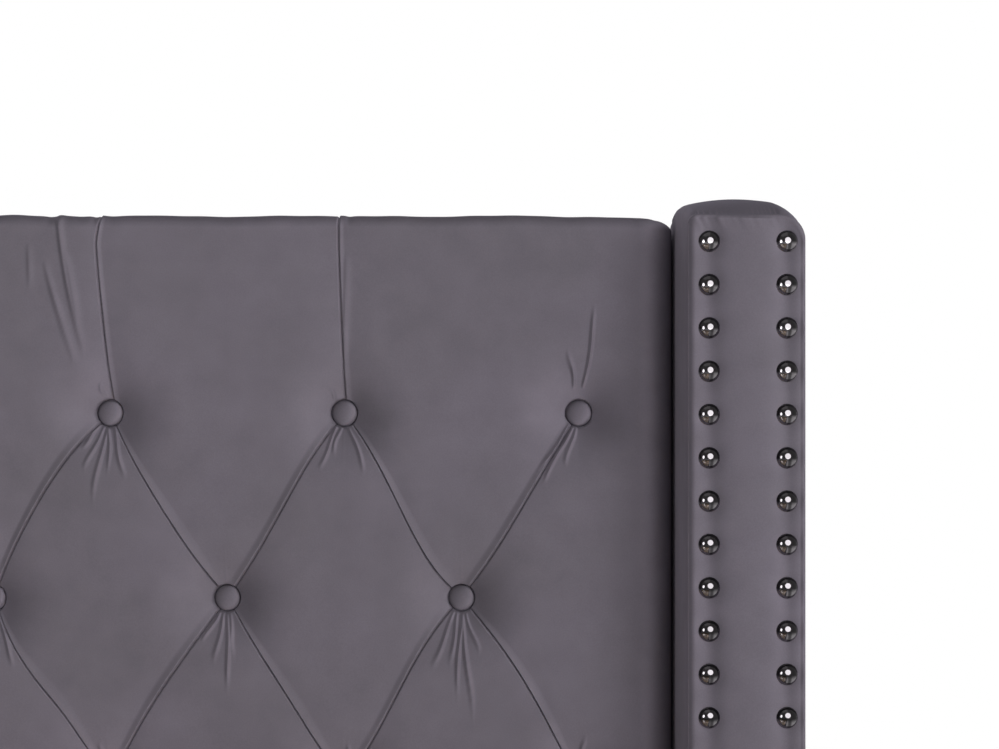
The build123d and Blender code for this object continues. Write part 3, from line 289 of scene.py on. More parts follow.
def crease_height(row, x):
    """Height of the zigzag of creases between one row of buttons and the next."""
    k = np.clip(np.floor(x / HALF_PITCH).astype(int), -8, 7)
    share = x / HALF_PITCH - k
    left_is_upper = (k % 2 != 0) == (row % 2 == 0)
    upper, lower = row_z(row), row_z(row + 1)
    drop = np.where(left_is_upper, share, 1 - share)
    bow, swing = CREASE_BOWS[row, k + 8].T
    curve = bow * np.sin(drop * math.pi) + swing * np.sin(drop * 2 * math.pi)
    z = upper + (lower - upper) * drop + BOW_GAIN * curve
    # both ends tuck in under their buttons
    tuck, end = 0.0022, 0.05
    return z - tuck * smoothstep((end - drop) / end) + tuck * smoothstep((drop - 0.95) / end)


def crease_segments():
    """Each crease as start, end, kind, how far its lap stands proud, and its path.

    A slanting crease's path is the upper row of its zigzag. An upright one's is how far to the
    right it starts, then leans, then moves near its end.
    """
    rng = random.Random(11)
    lines = []
    for row in range(ROWS - 1):
        for x in row_xs(row):
            for side in (-1, 1):
                x2 = x + side * HALF_PITCH
                if any(abs(x2 - other) < 0.001 for other in row_xs(row + 1)):
                    fold = rng.uniform(0.0015, 0.0020)
                    ends = (x, row_z(row)), (x2, row_z(row + 1))
                    lines.append((*ends, "slant", fold, (row, 0, 0)))
    for x in row_xs(0)[1:-1]:
        path = (rng.uniform(0.001, 0.004), rng.uniform(-0.008, -0.002), rng.uniform(0.0, 0.003))
        if 0.2 < x < 0.4:
            path = (0.0045, -0.0105, 0.0045)
        elif 0.4 < x < 0.6:
            path = (0.0018, -0.0042, 0.0004)
        ends = (x, FIRST_ROW), (x, PAD_TOP + 0.060)
        lines.append((*ends, "upright", rng.uniform(0.0011, 0.0015), path))
    for x in row_xs(ROWS - 1):
        path = (0.0, rng.uniform(-0.006, 0.006), 0.0)
        ends = (x, row_z(ROWS - 1)), (x, PAD_FOOT - 0.020)
        lines.append((*ends, "upright", rng.uniform(0.0011, 0.0015), path))
    return lines


def crease_shape(px, pz, start, end, kind, fold, path):
    """Depth of one crease's valley and groove, and height of its lap, at points near it."""
    (x1, z1), (x2, z2) = start, end
    length = math.hypot(x2 - x1, z2 - z1)
    ux, uz = (x2 - x1) / length, (z2 - z1) / length
    along = (px - x1) * ux + (pz - z1) * uz
    share = unit(along / length)
    bulge = np.sin(share * math.pi)
    rising = kind == "slant" and ux < 0
    first, lean, back = path
    if kind == "slant":
        # positive above the line
        cell = np.clip(px, min(x1, x2), max(x1, x2))
        chord = z1 + (cell - x1) * (z2 - z1) / (x2 - x1)
        straight = ((px - x1) * -uz + (pz - z1) * ux) * (1 if ux > 0 else -1)
        across = straight - (crease_height(first, cell) - chord) * abs(ux)
        middle = 1 - 0.78 * bulge
        proud = fold * (0.65 + 0.35 * bulge) * (0.72 if rising else 1)
        band = 0.0034 + 0.0058 * np.sin(share**1.4 * math.pi)
        if rising:
            band = 0.0066 + 0.0012 * bulge
    else:
        # positive to the right of the line
        bend = first * (1 - share) ** 4 + lean * smoothstep(share * 1.25)
        across = px - x1 - (bend + back * smoothstep(share * 8 - 5))
        middle = 1 - 0.75 * smoothstep(share * 1.8)
        proud = fold * (0.6 + 0.4 * bulge)
        band = 0.0062 - 0.0020 * share
    past = np.maximum(np.maximum(-along, along - length), 0.0)
    fade = unit(1 - past / CREASE_FADE)
    wide = unit(1 - np.abs(across) / VALLEY_REACH)
    if rising:
        lap = smoothstep(across / 0.0019) * smoothstep(1 - across / band)
    else:
        lap = smoothstep(across / 0.0009) * unit(1 - across / band) ** 1.5
    groove = GROOVE_DEPTH * bell(across + GROOVE_SHIFT, GROOVE_WIDTH) * fade
    return VALLEY_DEPTH * middle * wide**2 * fade, groove, proud * lap * fade


def panel_depth(x, z):
    """How far the velvet lies behind the panel's crown at each point of the flat front."""
    nearest = np.full_like(x, 9.0)
    for bx, bz, _ in BUTTONS:
        nearest = np.minimum(nearest, np.hypot(x - bx, z - bz))
    depth = HOLLOW_DEPTH * unit(1 - nearest / HOLLOW_REACH) ** 2.5
    depth += SEAT_DEPTH * smoothstep((SEAT_RADIUS - nearest) / SEAT_EDGE)
    layers = np.zeros((3, len(x)))
    for crease in crease_segments():
        (x1, z1), (x2, z2) = crease[:2]
        near = (x > min(x1, x2) - CREASE_REACH) & (x < max(x1, x2) + CREASE_REACH)
        near &= (z > min(z1, z2) - CREASE_REACH) & (z < max(z1, z2) + CREASE_REACH)
        layers[:, near] = np.maximum(layers[:, near], crease_shape(x[near], z[near], *crease))
    valley, groove, raised = layers
    return depth + valley + groove - raised - gathers(x, z)


# Puckers below some buttons, then above some: degrees from upright, and length, by row and
# half-pitch column
FANS = {
    (0, 3): ((-37, 0.026), (-22, 0.040), (-9, 0.062), (2, 0.036), (17, 0.046)),
    (0, 5): ((-24, 0.040), (-14, 0.024), (21, 0.042)),
    (0, 7): ((-36, 0.044), (-27, 0.056), (-15, 0.034)),
    (1, 4): ((-28, 0.030), (-10, 0.042), (3, 0.062), (10, 0.038)),
    (1, 6): ((-24, 0.052), (-11, 0.044), (-2, 0.066), (6, 0.086), (19, 0.036)),
}
RISING_FANS = {
    (0, 3): ((-14, 0.016),), (0, 5): ((-30, 0.014),), (0, 7): ((9, 0.070), (-10, 0.032)),
    (1, 4): (), (1, 6): (), (2, 7): ((6, 0.020),),
}

# Long slack folds beside upright creases: x at the top and the foot, z there, height and curl
SLACK_FOLDS = (
    (0.2655, 0.2895, 1.300, 1.146, 0.0012, 1.9), (0.2551, 0.2815, 1.226, 1.138, 0.0011, 1.15),
    (0.2735, 0.2850, 1.236, 1.172, 0.0007, 1.0), (0.2412, 0.2422, 1.242, 1.203, 0.0005, 1.0),
    (0.5178, 0.5168, 1.232, 1.142, 0.0007, 1.0),
)


def fan_turns(rng, key, right):
    """Angle from upright and length of each pucker below and above a button."""
    outer = abs(key[1]) == 7
    below, above = FANS.get(key), RISING_FANS.get(key)
    if below is None:
        base = (-26 if right else 26) if outer else 0
        swing = 0.5 if outer else 1
        count = 3 if outer else rng.choice((3, 4, 5))
        below = [
            (base + rng.uniform(-26, 26) * swing, rng.uniform(0.026, 0.066)) for _ in range(count)
        ]
    if above is None and outer:
        above = [(rng.uniform(-12, 12), rng.uniform(0.045, 0.085)) for _ in range(3)]
    elif above is None:
        above = [(rng.uniform(-24, 24), rng.uniform(0.018, 0.026)) for _ in range(2)]
    return below, above


def gathers(x, z):
    """Short radial puckers where the velvet bunches under, and beside, each button."""
    total = np.zeros_like(x)
    rng = random.Random(5)
    for bx, bz, row in BUTTONS:
        key = (row, round(bx / HALF_PITCH))
        below, above = fan_turns(rng, key, bx > 0)
        radius = np.hypot(x - bx, z - bz)
        near = radius < FAN_REACH
        r = radius[near]
        part = np.zeros_like(r)
        for turns, way in ((below, -1), (above, 1)):
            angle = np.arctan2(x[near] - bx, way * (z[near] - bz))
            start = 0.022 if way > 0 and abs(key[1]) == 7 else 0.012
            for degrees, reach in turns:
                share = unit((r - start) / reach)
                swell = np.sin(share**0.8 * math.pi) ** 0.8
                size = rng.uniform(0.0014, 0.0020) * (0.6 + 8 * min(reach, 0.062))
                width = rng.uniform(0.0009, 0.0012) * (1 + 0.6 * share)
                drift = (angle - math.radians(degrees)) * r + 0.0012 * np.sin(share * 5 + degrees)
                part += size * swell * bell(drift, width) * (np.abs(angle) < 1.2)
        total[near] += part
    for x0, x1, z0, z1, size, curl in SLACK_FOLDS:
        share = unit((z0 - z) / (z0 - z1))
        away = x - (x0 + (x1 - x0) * share**curl)
        lip = bell(away, np.where(away < 0, 0.0018, 0.0034))
        total += size * np.sin(share * math.pi) ** 0.6 * lip
    return total


def edge_bumps():
    """Small lumps of the rolled top edge as place, height and width."""
    rng = random.Random(77)
    bumps = [
        (0.228, 0.0014, 0.020), (0.2590, -0.0008, 0.0050), (0.2700, 0.0005, 0.0042),
        (0.2850, -0.0005, 0.0060), (0.2985, -0.0007, 0.0035), (0.3060, 0.0008, 0.0050),
        (0.5155, 0.0006, 0.0030), (0.5200, -0.0005, 0.0040),
    ]
    # beside the creases that those don't cover, one lump close by and one further off
    for x in row_xs(0)[1:-1]:
        if 0.2 < x < 0.6:
            continue
        for reach, height, width in (
            (0.003, (0.0004, 0.0010), (0.003, 0.005)), (0.040, (-0.0008, 0.0010), (0.004, 0.012)),
        ):
            at = x + rng.uniform(-reach, reach)
            bumps.append((at, rng.uniform(*height), rng.uniform(*width)))
    return bumps


EDGE_BUMPS = edge_bumps()


def rounded_border(past_x, past_z, radius_x, radius_z, most_x, most_z, deep):
    """Turn the border of a sheet back over its edges, its corners rounded.

    Takes how far each point lies past the start of the turn each way, and gives its place past
    that start, its depth and the cosine and sine of the turn. The sheet ends at the given depth.
    """
    a, b = past_x / radius_x, past_z / radius_z
    t = np.hypot(a, b)
    safe = np.where(t > 0, t, 1.0)
    ca, cb = a / safe, b / safe
    radius = radius_x * ca**2 + radius_z * cb**2
    far = np.minimum(
        np.where(ca > 1e-6, most_x / radius_x / np.maximum(ca, 1e-6), 1e9),
        np.where(cb > 1e-6, most_z / radius_z / np.maximum(cb, 1e-6), 1e9),
    )
    limit = math.pi / 2 + (deep(cb) - radius) / np.maximum(radius, 1e-6)
    keep = 1.2
    scaled = keep + (t - keep) / np.maximum(far - keep, 1e-6) * (limit - keep)
    t = np.where(t <= keep, t, scaled)
    turn = np.minimum(t, math.pi / 2)
    depth = radius * (1 - np.cos(turn)) + np.maximum(t - math.pi / 2, 0) * radius
    flat, tipped = np.cos(turn), np.sin(turn)
    return radius_x * tipped * ca, radius_z * tipped * cb, depth, flat, tipped


def panel_columns(quick):
    """Upright grid lines, gathered at every button column and close at the slack folds."""
    counts = ((17, 4, 4), (17, 4, 4)) if quick else ((34, 9, 7), (25, 6, 6))
    fine, medium = 0.022, 0.032
    close, looser = (
        np.concatenate([
            np.linspace(0, fine, near), np.linspace(fine, medium, middle)[1:],
            np.linspace(medium, HALF_PITCH / 2, far)[1:],
        ])
        for near, middle, far in counts
    )
    cell, left_cell = (
        np.concatenate([half, HALF_PITCH - half[-2::-1]]) for half in (close, looser)
    )
    slack = np.linspace(0, HALF_PITCH, 50 if quick else 148)
    inner = [
        k * HALF_PITCH + (slack if k == 2 else cell if k >= 0 else left_cell)[:-1]
        for k in range(-7, 7)
    ]
    last = 7 * HALF_PITCH
    border = np.linspace(last + close[-1], PAD_HALF + SIDE_FLAP, 14 if quick else 24)[1:]
    left = np.concatenate([last + looser, border])
    return np.concatenate([-left[:0:-1], *inner, last + close, border])


def panel_grid():
    """The panel's grid laid flat: each band of rows runs from one zigzag of creases to the next."""
    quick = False
    band_rows = (30, 50, 50, 60) if quick else (50, 80, 80, 130)
    u = panel_columns(quick)
    over = np.linspace(0, TOP_FLAP, 22)[1:]
    under = np.linspace(0, LOW_FLAP, 12)[1:]
    bm, i, j = fresh_grid(len(u), sum(band_rows) + 1 + len(over) + len(under))
    u = u[i]
    level = j - len(under)
    widest = 7.6 * HALF_PITCH
    bounds = [np.full_like(u, PAD_FOOT)]
    bounds += [crease_height(row, np.clip(u, -widest, widest)) for row in (2, 1, 0)]
    bounds.append(np.full_like(u, PAD_TOP))
    v = np.zeros_like(u)
    for band, count in enumerate(band_rows):
        start = sum(band_rows[:band])
        span = bounds[band + 1] - bounds[band]
        share = crowded(np.clip(level - start, 0, count), count, span / 2, CREASE_STEP)
        inside = (level >= start) & (level <= start + count)
        v = np.where(inside, bounds[band] + span * share, v)
    past_top = level - sum(band_rows)
    v = np.where(past_top > 0, PAD_TOP + over[np.clip(past_top - 1, 0, len(over) - 1)], v)
    v = np.where(level < 0, PAD_FOOT - under[np.clip(-level - 1, 0, len(under) - 1)], v)
    return bm, u, v


def tufted_panel():
    """The tufted front with its rolled edges and capped top, gridded along its own creases."""
    bm, u, v = panel_grid()
    start_x = PAD_HALF - SIDE_ROLL
    past_x = np.maximum(np.abs(u) - start_x, 0)
    most_x = np.abs(u).max() - start_x
    side = np.sign(u)
    high = v > (PAD_TOP + PAD_FOOT) / 2
    start_top, start_low = PAD_TOP - TOP_ROLL, PAD_FOOT + LOW_ROLL
    skin = 0.0008
    to_lining = LINING_FRONT - skin - PAD_FRONT
    to_board = PAD_BACK - skin - PAD_FRONT
    top = rounded_border(
        past_x, np.maximum(v - start_top, 0), SIDE_ROLL, TOP_ROLL, most_x, v.max() - start_top,
        lambda cb: to_board + (to_lining - to_board) * smoothstep(cb * 4),
    )
    low = rounded_border(
        past_x, np.maximum(start_low - v, 0), SIDE_ROLL, LOW_ROLL, most_x, start_low - v.min(),
        lambda cb: np.full_like(cb, to_board),
    )
    out_x, out_z, depth, flat, tipped = [np.where(high, a, b) for a, b in zip(top, low)]
    face = panel_depth(u, v) * smoothstep(1.25 - depth / 0.040)
    x = side * (np.minimum(np.abs(u), start_x) + out_x)
    z = np.where(high, np.minimum(v, start_top) + out_z, np.maximum(v, start_low) - out_z)
    y = PAD_FRONT + 0.0006 + depth + face * flat
    z = z - np.where(high, 1, -1) * face * tipped * np.where(out_z > 0, 1, 0) * 0.8
    x = x - side * face * tipped * np.where(out_z > 0, 0, 1)
    # the top line wanders a little and falls away towards the wings
    cap = smoothstep((v - PAD_TOP + 0.06) / 0.06)
    slope = 0.16
    near_side = unit((np.abs(x) - (PAD_HALF - slope)) / slope)
    bumps = np.zeros_like(x)
    for centre, height, width in EDGE_BUMPS:
        bumps += height * bell(x - centre, width)
    z = z + cap * (0.0004 * ripple(x, 3, 38) + bumps - 0.0015 - 0.0022 * near_side**2)
    y = y + 0.0005 * ripple(x + z * 0.7, 31, 9) * flat
    place(bm, x, y, z)
    close_back(bm)
    return bm


def close_back(bm):
    """Close the panel's cap behind the frame's top, then its back."""
    back = open_edges(bm, lambda ends: min(co.y for co in ends) > LINING_FRONT - 0.004)
    back, pairs = boundary_ring(bm, back)
    for vert in pairs:
        vert.co.z -= 0.0040
        vert.co.y = min(vert.co.y, LINING_FRONT - 0.0002)
    back, pairs = boundary_ring(bm, back)
    for vert in pairs:
        vert.co.z = FRAME_TOP + 0.0004
        vert.co.y = LINING_FRONT + 0.0002
    bmesh.ops.holes_fill(bm, edges=open_edges(bm), sides=0)


def covered_button():
    """A velvet-covered button, turned under at its rim."""
    return spun([
        (0.0096, 0.0030), (0.0108, 0.0012), (0.01175, -0.0006), (0.0118, -0.0024),
        (0.0115, -0.0042), (0.0106, -0.0057), (0.0090, -0.0067), (0.0066, -0.0074),
        (0.0035, -0.0079), (0.0, -0.0080),
    ], 28)


def button_turn(number):
    """A slight tilt of one button, and a turn about its own axis."""
    rng = random.Random(number + 40)
    tilt = Matrix.Rotation(rng.uniform(-0.10, -0.03), 4, "X")
    tilt = tilt @ Matrix.Rotation(rng.uniform(-0.12, -0.04), 4, "Z")
    return tilt @ Matrix.Rotation(rng.uniform(0, 6.28), 4, "Y")


def button_tie():
    """Twine from a button back through the board to its toggle."""
    end = PAD_BACK + BOARD_THICK - (PAD_FRONT + DIMPLE)
    twine = [(0.0010 + 0.0002 * (n % 2), 0.001 + (end - 0.001) * n / 24) for n in range(25)]
    disc = ((0.0072, 0.0002), (0.0080, 0.0010), (0.0080, 0.0022), (0.0072, 0.0030), (0.0, 0.0030))
    return spun(twine + [(radius, end + step) for radius, step in disc], 10)


def domed_nail():
    """A domed nail head with a thin flange, and its shank."""
    flange, radius, rim, height = 0.00875, 0.0082, 0.0010, 0.0065
    shank, tip = 0.0010, 0.0150
    outline = [
        (0.0, tip), (shank, tip - 0.0010), (shank, 0.0004), (flange * 0.94, 0.0004),
        (flange, 0.0), (flange, -0.0005), (flange * 0.975, -0.0009),
    ]
    for n in range(8):
        turn = n / 7 * math.pi / 2
        outline.append((radius * math.cos(turn), -rim - (height - rim) * math.sin(turn)))
    return spun(outline, 24)


# Wing covers


# Rings of a wing cover behind its front: depth, how far in from the widest outline, height of the
# top, its fall to the sides, outer and inner corner radius, pucker
WING_RINGS = (
    (0.0003, 0.0021, 1.2558, 0.0, 0.0206, 0.0058, 0.0),
    (0.0011, 0.0009, 1.2568, 0.0, 0.0208, 0.0066, 0.0),
    (0.0022, 0.0002, 1.2571, 0.0, 0.0209, 0.0070, 0.0),
    (0.0034, 0.0012, 1.2553, 0.0, 0.0210, 0.0070, 0.0002),
    (0.0046, 0.0012, 1.2555, 0.0, 0.0211, 0.0070, 0.0003),
    (0.0066, 0.0001, 1.2584, 0.4, 0.0213, 0.0070, 0.0003),
    (0.0130, 0.0, 1.2625, 1.0, 0.0215, 0.0072, 0.0002),
    (0.020, 0.0, 1.2657, 1.6, 0.0217, 0.0074, 0.0001),
    (0.030, -0.0002, 1.2691, 2.2, 0.0219, 0.0074, 0.0),
    (0.042, -0.0003, 1.2720, 2.6, 0.0220, 0.0074, 0.0),
    (0.056, -0.0004, 1.2746, 2.8, 0.0220, 0.0072, 0.0),
    (0.074, -0.0004, 1.2768, 2.9, 0.0220, 0.0068, 0.0),
    (0.095, -0.0003, 1.2781, 2.9, 0.0220, 0.0062, 0.0),
    (0.120, -0.0003, 1.2787, 2.9, 0.0220, 0.0056, 0.0),
    (0.150, -0.0002, 1.2790, 2.9, 0.0220, 0.0050, 0.0),
    (0.180, 0.0002, 1.2788, 2.9, 0.0218, 0.0050, 0.0),
    (0.1925, 0.0018, 1.2776, 2.8, 0.0212, 0.0056, 0.0),
    (0.1965, 0.0044, 1.2742, 2.6, 0.0200, 0.0070, 0.0),
    (0.1966, 0.0110, 1.2640, 3.0, 0.0170, 0.0060, 0.0),
    (0.1967, 0.0170, 1.2400, 2.0, 0.0130, 0.0050, 0.0),
)


def edge_shares(x):
    """How far a place lies into a wing's soft inner edge, and into its outer one."""
    return unit((WING_INNER + 0.0042 - x) / 0.0054), unit((x - WING_OUTER + 0.0125) / 0.0095)


def face_dents(x, z, s):
    """How far in a wing's front lies, between and along its nail columns."""
    inward = -0.0012 * (1 - np.cos(2 * math.pi * s)) / 2
    last_nail = NAIL_TOP - (NAIL_COUNT - 1) * NAIL_PITCH
    run = smoothstep((z - (last_nail - 0.03)) / 0.03)
    for column in NAIL_COLUMNS:
        n = np.clip(np.round((NAIL_TOP - z) / NAIL_PITCH), 0, NAIL_COUNT - 1)
        r = np.hypot(x - column, z - (NAIL_TOP - n * NAIL_PITCH))
        inward += 0.0011 * bell(r, 0.0108) + 0.0006 * bell(r, 0.018)
        inward += 0.0011 * bell(x - column, 0.0085) * run
    inward += 0.00016 * ripple(z * 0.9 + x * 0.35, 17, 26) * (0.35 + 0.65 * np.sin(s * math.pi))
    corner = 1 + 2.5 * unit(1 - (x - WING_INNER) / 0.028)
    by_top = unit(1 - (WING_FACE_TOP - z) / 0.016) ** 1.5
    inward += 0.0002 * corner * ripple(x + z * 0.5, 8, 210) * by_top
    # the inner edge turns softly into the side, and the outer one falls back a little
    by_inner, by_outer = edge_shares(x)
    return inward + 0.0034 * (1 - np.sqrt(1 - 0.98 * by_inner**2)) + 0.0011 * by_outer**2


def ring_spot(spot, left, right, height, fall, outer_r, inner_r, pucker):
    """Where a border vertex lies on a ring: along its top, or up a side and round its corner."""
    kind, value, turn = spot

    def crown(x):
        return height - fall * (x - WING_MIDDLE) ** 2

    if kind == "top":
        px = left + inner_r + (right - outer_r - left - inner_r) * value
        wave = math.sin(px * 1500 + 2 * math.sin(px * 210)) * abs(value * 2 - 1) ** 1.5
        return px, crown(px) + pucker * wave
    if kind == "inner":
        wall, r, face_r = left, inner_r, WING_INNER_R
        px = left + r - r * math.cos(turn)
    else:
        wall, r, face_r = right, outer_r, WING_OUTER_R
        px = right - r + r * math.cos(turn)
    pz = crown(px) - r * (1 - math.sin(turn))
    if turn <= 0:
        stretch = (crown(wall) - r - WING_LOW) / (WING_FACE_TOP - face_r - WING_LOW)
        pz = WING_LOW + (value - WING_LOW) * stretch
    return px, pz + pucker * math.sin(turn * 9) * 0.7


def wing_cover(side):
    """Velvet over a wing: front panel dented round its nails, side bands and domed top."""
    across, up, arc = ((64, 320, 24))
    bm, i, j = fresh_grid(across + 1, up + 1)
    rise = unit((j - (up - arc)) / arc)
    straight = (WING_FACE_TOP - WING_OUTER_R - WING_LOW) * np.minimum(j / (up - arc), 1)
    z = WING_LOW + straight + WING_OUTER_R * np.sin(rise * math.pi / 2)
    up_outer, up_inner = (
        unit((z - (WING_FACE_TOP - r)) / r) for r in (WING_OUTER_R, WING_INNER_R)
    )
    outer = WING_OUTER - WING_INSET - WING_OUTER_R * (1 - np.sqrt(1 - up_outer**2))
    inner = WING_INNER - 0.0012 + WING_INNER_R * (1 - np.sqrt(1 - up_inner**2))
    s = (i / across) ** WING_SHARE
    x = inner + (outer - inner) * s
    place(bm, side * x, WING_FRONT + 0.0008 + face_dents(x, z, s), z)
    ring = open_edges(bm, lambda ends: not all(abs(co.z - WING_LOW) < 1e-5 for co in ends))
    # where each border vertex lies: up a side, round a corner or along the top
    spots = {}
    for vert, a, b, vz, so, si in zip(bm.verts, i, j, z, up_outer, up_inner):
        if a == 0:
            spots[vert] = ("inner", vz, math.asin(si))
        elif a == across:
            spots[vert] = ("outer", vz, math.asin(so))
        elif b == up:
            spots[vert] = ("top", (a / across) ** WING_SHARE, 0)
    home = {v: spots[v] for e in ring for v in e.verts}
    for depth, pinch, *shape in WING_RINGS:
        ring, pairs = boundary_ring(bm, ring)
        home = {vert: home[old] for vert, old in pairs.items()}
        left, right = WING_INNER + pinch, WING_OUTER - pinch
        # towards the front the inner side swells
        if depth < 0.18:
            bulge = 0.0012 + 0.0010 * math.sin(min(depth / 0.009, 1) * math.pi / 2)
            left = WING_INNER - bulge * (1 - smoothstep((depth - 0.03) / 0.05))
        # behind the panel's top the inner side draws in
        behind = 0.0042 * smoothstep((depth - 0.105) / 0.085) if depth < 0.195 else 0.0
        for vert, spot in home.items():
            px, pz = ring_spot(spot, left, right, *shape)
            px += behind * smoothstep((pz - 1.238) / 0.022) * unit(1 - (px - WING_INNER) / 0.03)
            by_inner, by_outer = edge_shares(px)
            setback = (0.0029 * by_inner**2 + 0.0011 * by_outer**2) * math.exp(-depth / 0.012)
            vert.co = (side * px, WING_FRONT + depth + 0.0006 + setback, pz)
    return bm


# Back lining


def lining_sheet():
    """Black lining stapled over the back of the headboard, sucked in between the timbers."""
    columns, rows = 180, 120
    bm, i, j = fresh_grid(columns, rows)
    x = -LINING_HALF + 2 * LINING_HALF * i / (columns - 1)
    z = BACK_LOW + (LINING_TOP - BACK_LOW) * j / (rows - 1)
    open_x = smoothstep((0.73 - np.abs(x)) / 0.03)
    sag = np.zeros_like(x)
    # heights of the timbers' middles, and half their width
    levels = [0.0950 + 1.115 * share for share in (0.0, 0.24, 0.62, 1.0)]
    timber = 0.035
    for a, b in zip(levels, levels[1:]):
        inside = unit((z - a - timber) / (b - a - 2 * timber))
        sag += np.sin(inside * math.pi) ** 1.2
    sag *= 0.0009 * open_x * (1 + 0.25 * ripple(x * 3 + z, 4, 3))
    y = BED_BACK - 0.0006 - sag + 0.0001 * ripple(x * 2 + z * 3, 9, 12)
    place(bm, x, np.clip(y, LINING_FRONT + 0.0004, BED_BACK - 0.0002), z)
    return bm


def staple():
    """A wire staple's crown, flat on the cloth."""
    bm = bmesh.new()
    bmesh.ops.create_cube(bm, size=1.0)
    bmesh.ops.scale(bm, vec=(0.0100, 0.0007, 0.0012), verts=bm.verts[:])
    bmesh.ops.bevel(
        bm, geom=bm.edges[:], offset=0.00022, offset_type="OFFSET", segments=1, affect="EDGES",
        profile=0.5, material=-1,
    )
    return bm


def staple_places():
    """Place and quarter turns of each staple round the lining's edge."""
    spots = []
    reach, side, top, low = 0.875, 0.886, 1.236, 0.0695
    across, up = 27, 17
    for n in range(across + 1):
        x = -reach + 2 * reach * n / across
        spots += [(x, top, 0), (x, low, 0)]
    for n in range(up + 1):
        z = 0.10 + 1.10 * n / up
        spots += [(-side, z, 1), (side, z, 1)]
    return spots


def staples():
    """All the lining's staples, each turned a little off its line."""
    spots = staple_places()
    return repeated(
        staple(), [Vector((x, BED_BACK - 0.0002, z)) for x, z, _ in spots],
        lambda n: Matrix.Rotation(math.pi / 2 * spots[n][2] + 0.12 * math.sin(n * 7.3), 4, "Y"),
    )


# Rails


def rounded_line(points, steps=6):
    """Round the corners of a line given as (across, up, radius)."""
    out = []
    for n, (px, pz, radius) in enumerate(points):
        if radius <= 0 or n in (0, len(points) - 1):
            out.append((px, pz))
            continue
        here = Vector((px, pz))
        a = here + (Vector(points[n - 1][:2]) - here).normalized() * radius
        b = here + (Vector(points[n + 1][:2]) - here).normalized() * radius
        for k in range(steps + 1):
            t = k / steps
            spot = a * (1 - t) ** 2 + here * 2 * t * (1 - t) + b * t**2
            out.append((spot.x, spot.y))
    return out


def resampled(points, step):
    """The same line with no run longer than step."""
    out = [points[0]]
    for a, b in zip(points, points[1:]):
        pieces = max(1, math.ceil(math.hypot(b[0] - a[0], b[1] - a[1]) / step))
        for k in range(1, pieces + 1):
            out.append((a[0] + (b[0] - a[0]) * k / pieces, a[1] + (b[1] - a[1]) * k / pieces))
    return out


def rail_line():
    """Section of a padded rail, from the inside lip over the top and round to the base."""
    line = rounded_line([
        (0.0030, 0.3205, 0), (0.0004, 0.3225, 0.002), (0.0004, RAIL_TOP - 0.0002, 0.0045),
        (RAIL_PAD, RAIL_TOP - 0.0002, 0.0100), (RAIL_PAD, RAIL_LOW + 0.0003, 0.0085),
        (0.0035, RAIL_LOW + 0.0003, 0.0015), (0.0032, RAIL_LOW + 0.0032, 0),
    ])
    return resampled(line, 0.012)


def rail_swell(across, z, along, ends, seed):
    """How far the padding stands out from a rail's face, and how its outer half is marked."""
    outward = unit((across - 0.02) / (RAIL_PAD - 0.02))
    height = np.sin(unit((z - RAIL_LOW) / (RAIL_TOP - RAIL_LOW)) * math.pi)
    swell = 0.0042 * height**0.7 * outward * (0.25 + 0.75 * ends)
    swell += 0.0011 * ripple(along * 0.8 + z * 0.9, seed, 5) * height * outward * ends
    edge = bell(z - RAIL_TOP + 0.02, 0.03) * outward
    return swell + 0.0005 * ripple(along + z * 0.2, seed + 3, 31) * edge, outward


def rail_cover(side):
    """Velvet and wadding over a side rail, drawn slightly in at its ends."""
    line = rail_line()
    steps = 240
    bm, i, j = fresh_grid(steps + 1, len(line))
    start, end = FOOT_INNER + 0.0005, WING_FRONT - 0.0006
    y = start + (end - start) * i / steps
    across, z = np.array(line).T[:, j]
    ends = smoothstep((y - start) / 0.030) * smoothstep((end - y) / 0.030)
    swell, outward = rail_swell(across, z, y, ends, 12)
    top = unit((z - (RAIL_TOP - 0.004)) / 0.004)
    z = z - top * (1 - ends) * 0.0014 + top * 0.0004 * ripple(y, 6, 22)
    tuck = 0.004 * (1 - smoothstep((y - start) / 0.006))
    place(bm, side * (WING_INNER + across + swell - tuck * outward), y, z - tuck * 0.4 * top)
    return bm


def foot_cover():
    """Velvet and wadding over the foot rail, its ends rounded and closed."""
    line = rail_line()
    half, corner, turns = RAIL_OUTER - 0.0005, 0.010, 7
    inner = np.linspace(-(half - corner), half - corner, 190)
    ends = [half - corner * (1 - math.sin(k / turns * math.pi / 2)) for k in range(1, turns + 1)]
    x = np.array([-e for e in ends[::-1]] + list(inner) + ends)
    bm, i, j = fresh_grid(len(x), len(line))
    x = x[i]
    across, z = np.array(line).T[:, j]
    past = unit((np.abs(x) - (half - corner)) / corner)
    draw = corner * (1 - np.sqrt(unit(1 - past**2)))
    away = smoothstep((half - np.abs(x)) / 0.05)
    swell, outward = rail_swell(across, z, x, away, 44)
    y = BED_FOOT + 0.0004 + (RAIL_PAD - across) - swell * (1 - past) + draw * outward
    upper = unit((z - (RAIL_TOP - 0.012)) / 0.012)
    lower = unit((RAIL_LOW + 0.010 - z) / 0.010)
    z = z + 0.0004 * ripple(x, 61, 22) * upper - draw * 0.6 * upper + draw * 0.5 * lower
    place(bm, x, y, z)
    for sign in (-1, 1):
        end = open_edges(bm, lambda ends: all(co.x * sign > half - 1e-5 for co in ends))
        bmesh.ops.contextual_create(bm, geom=end)
    return bm


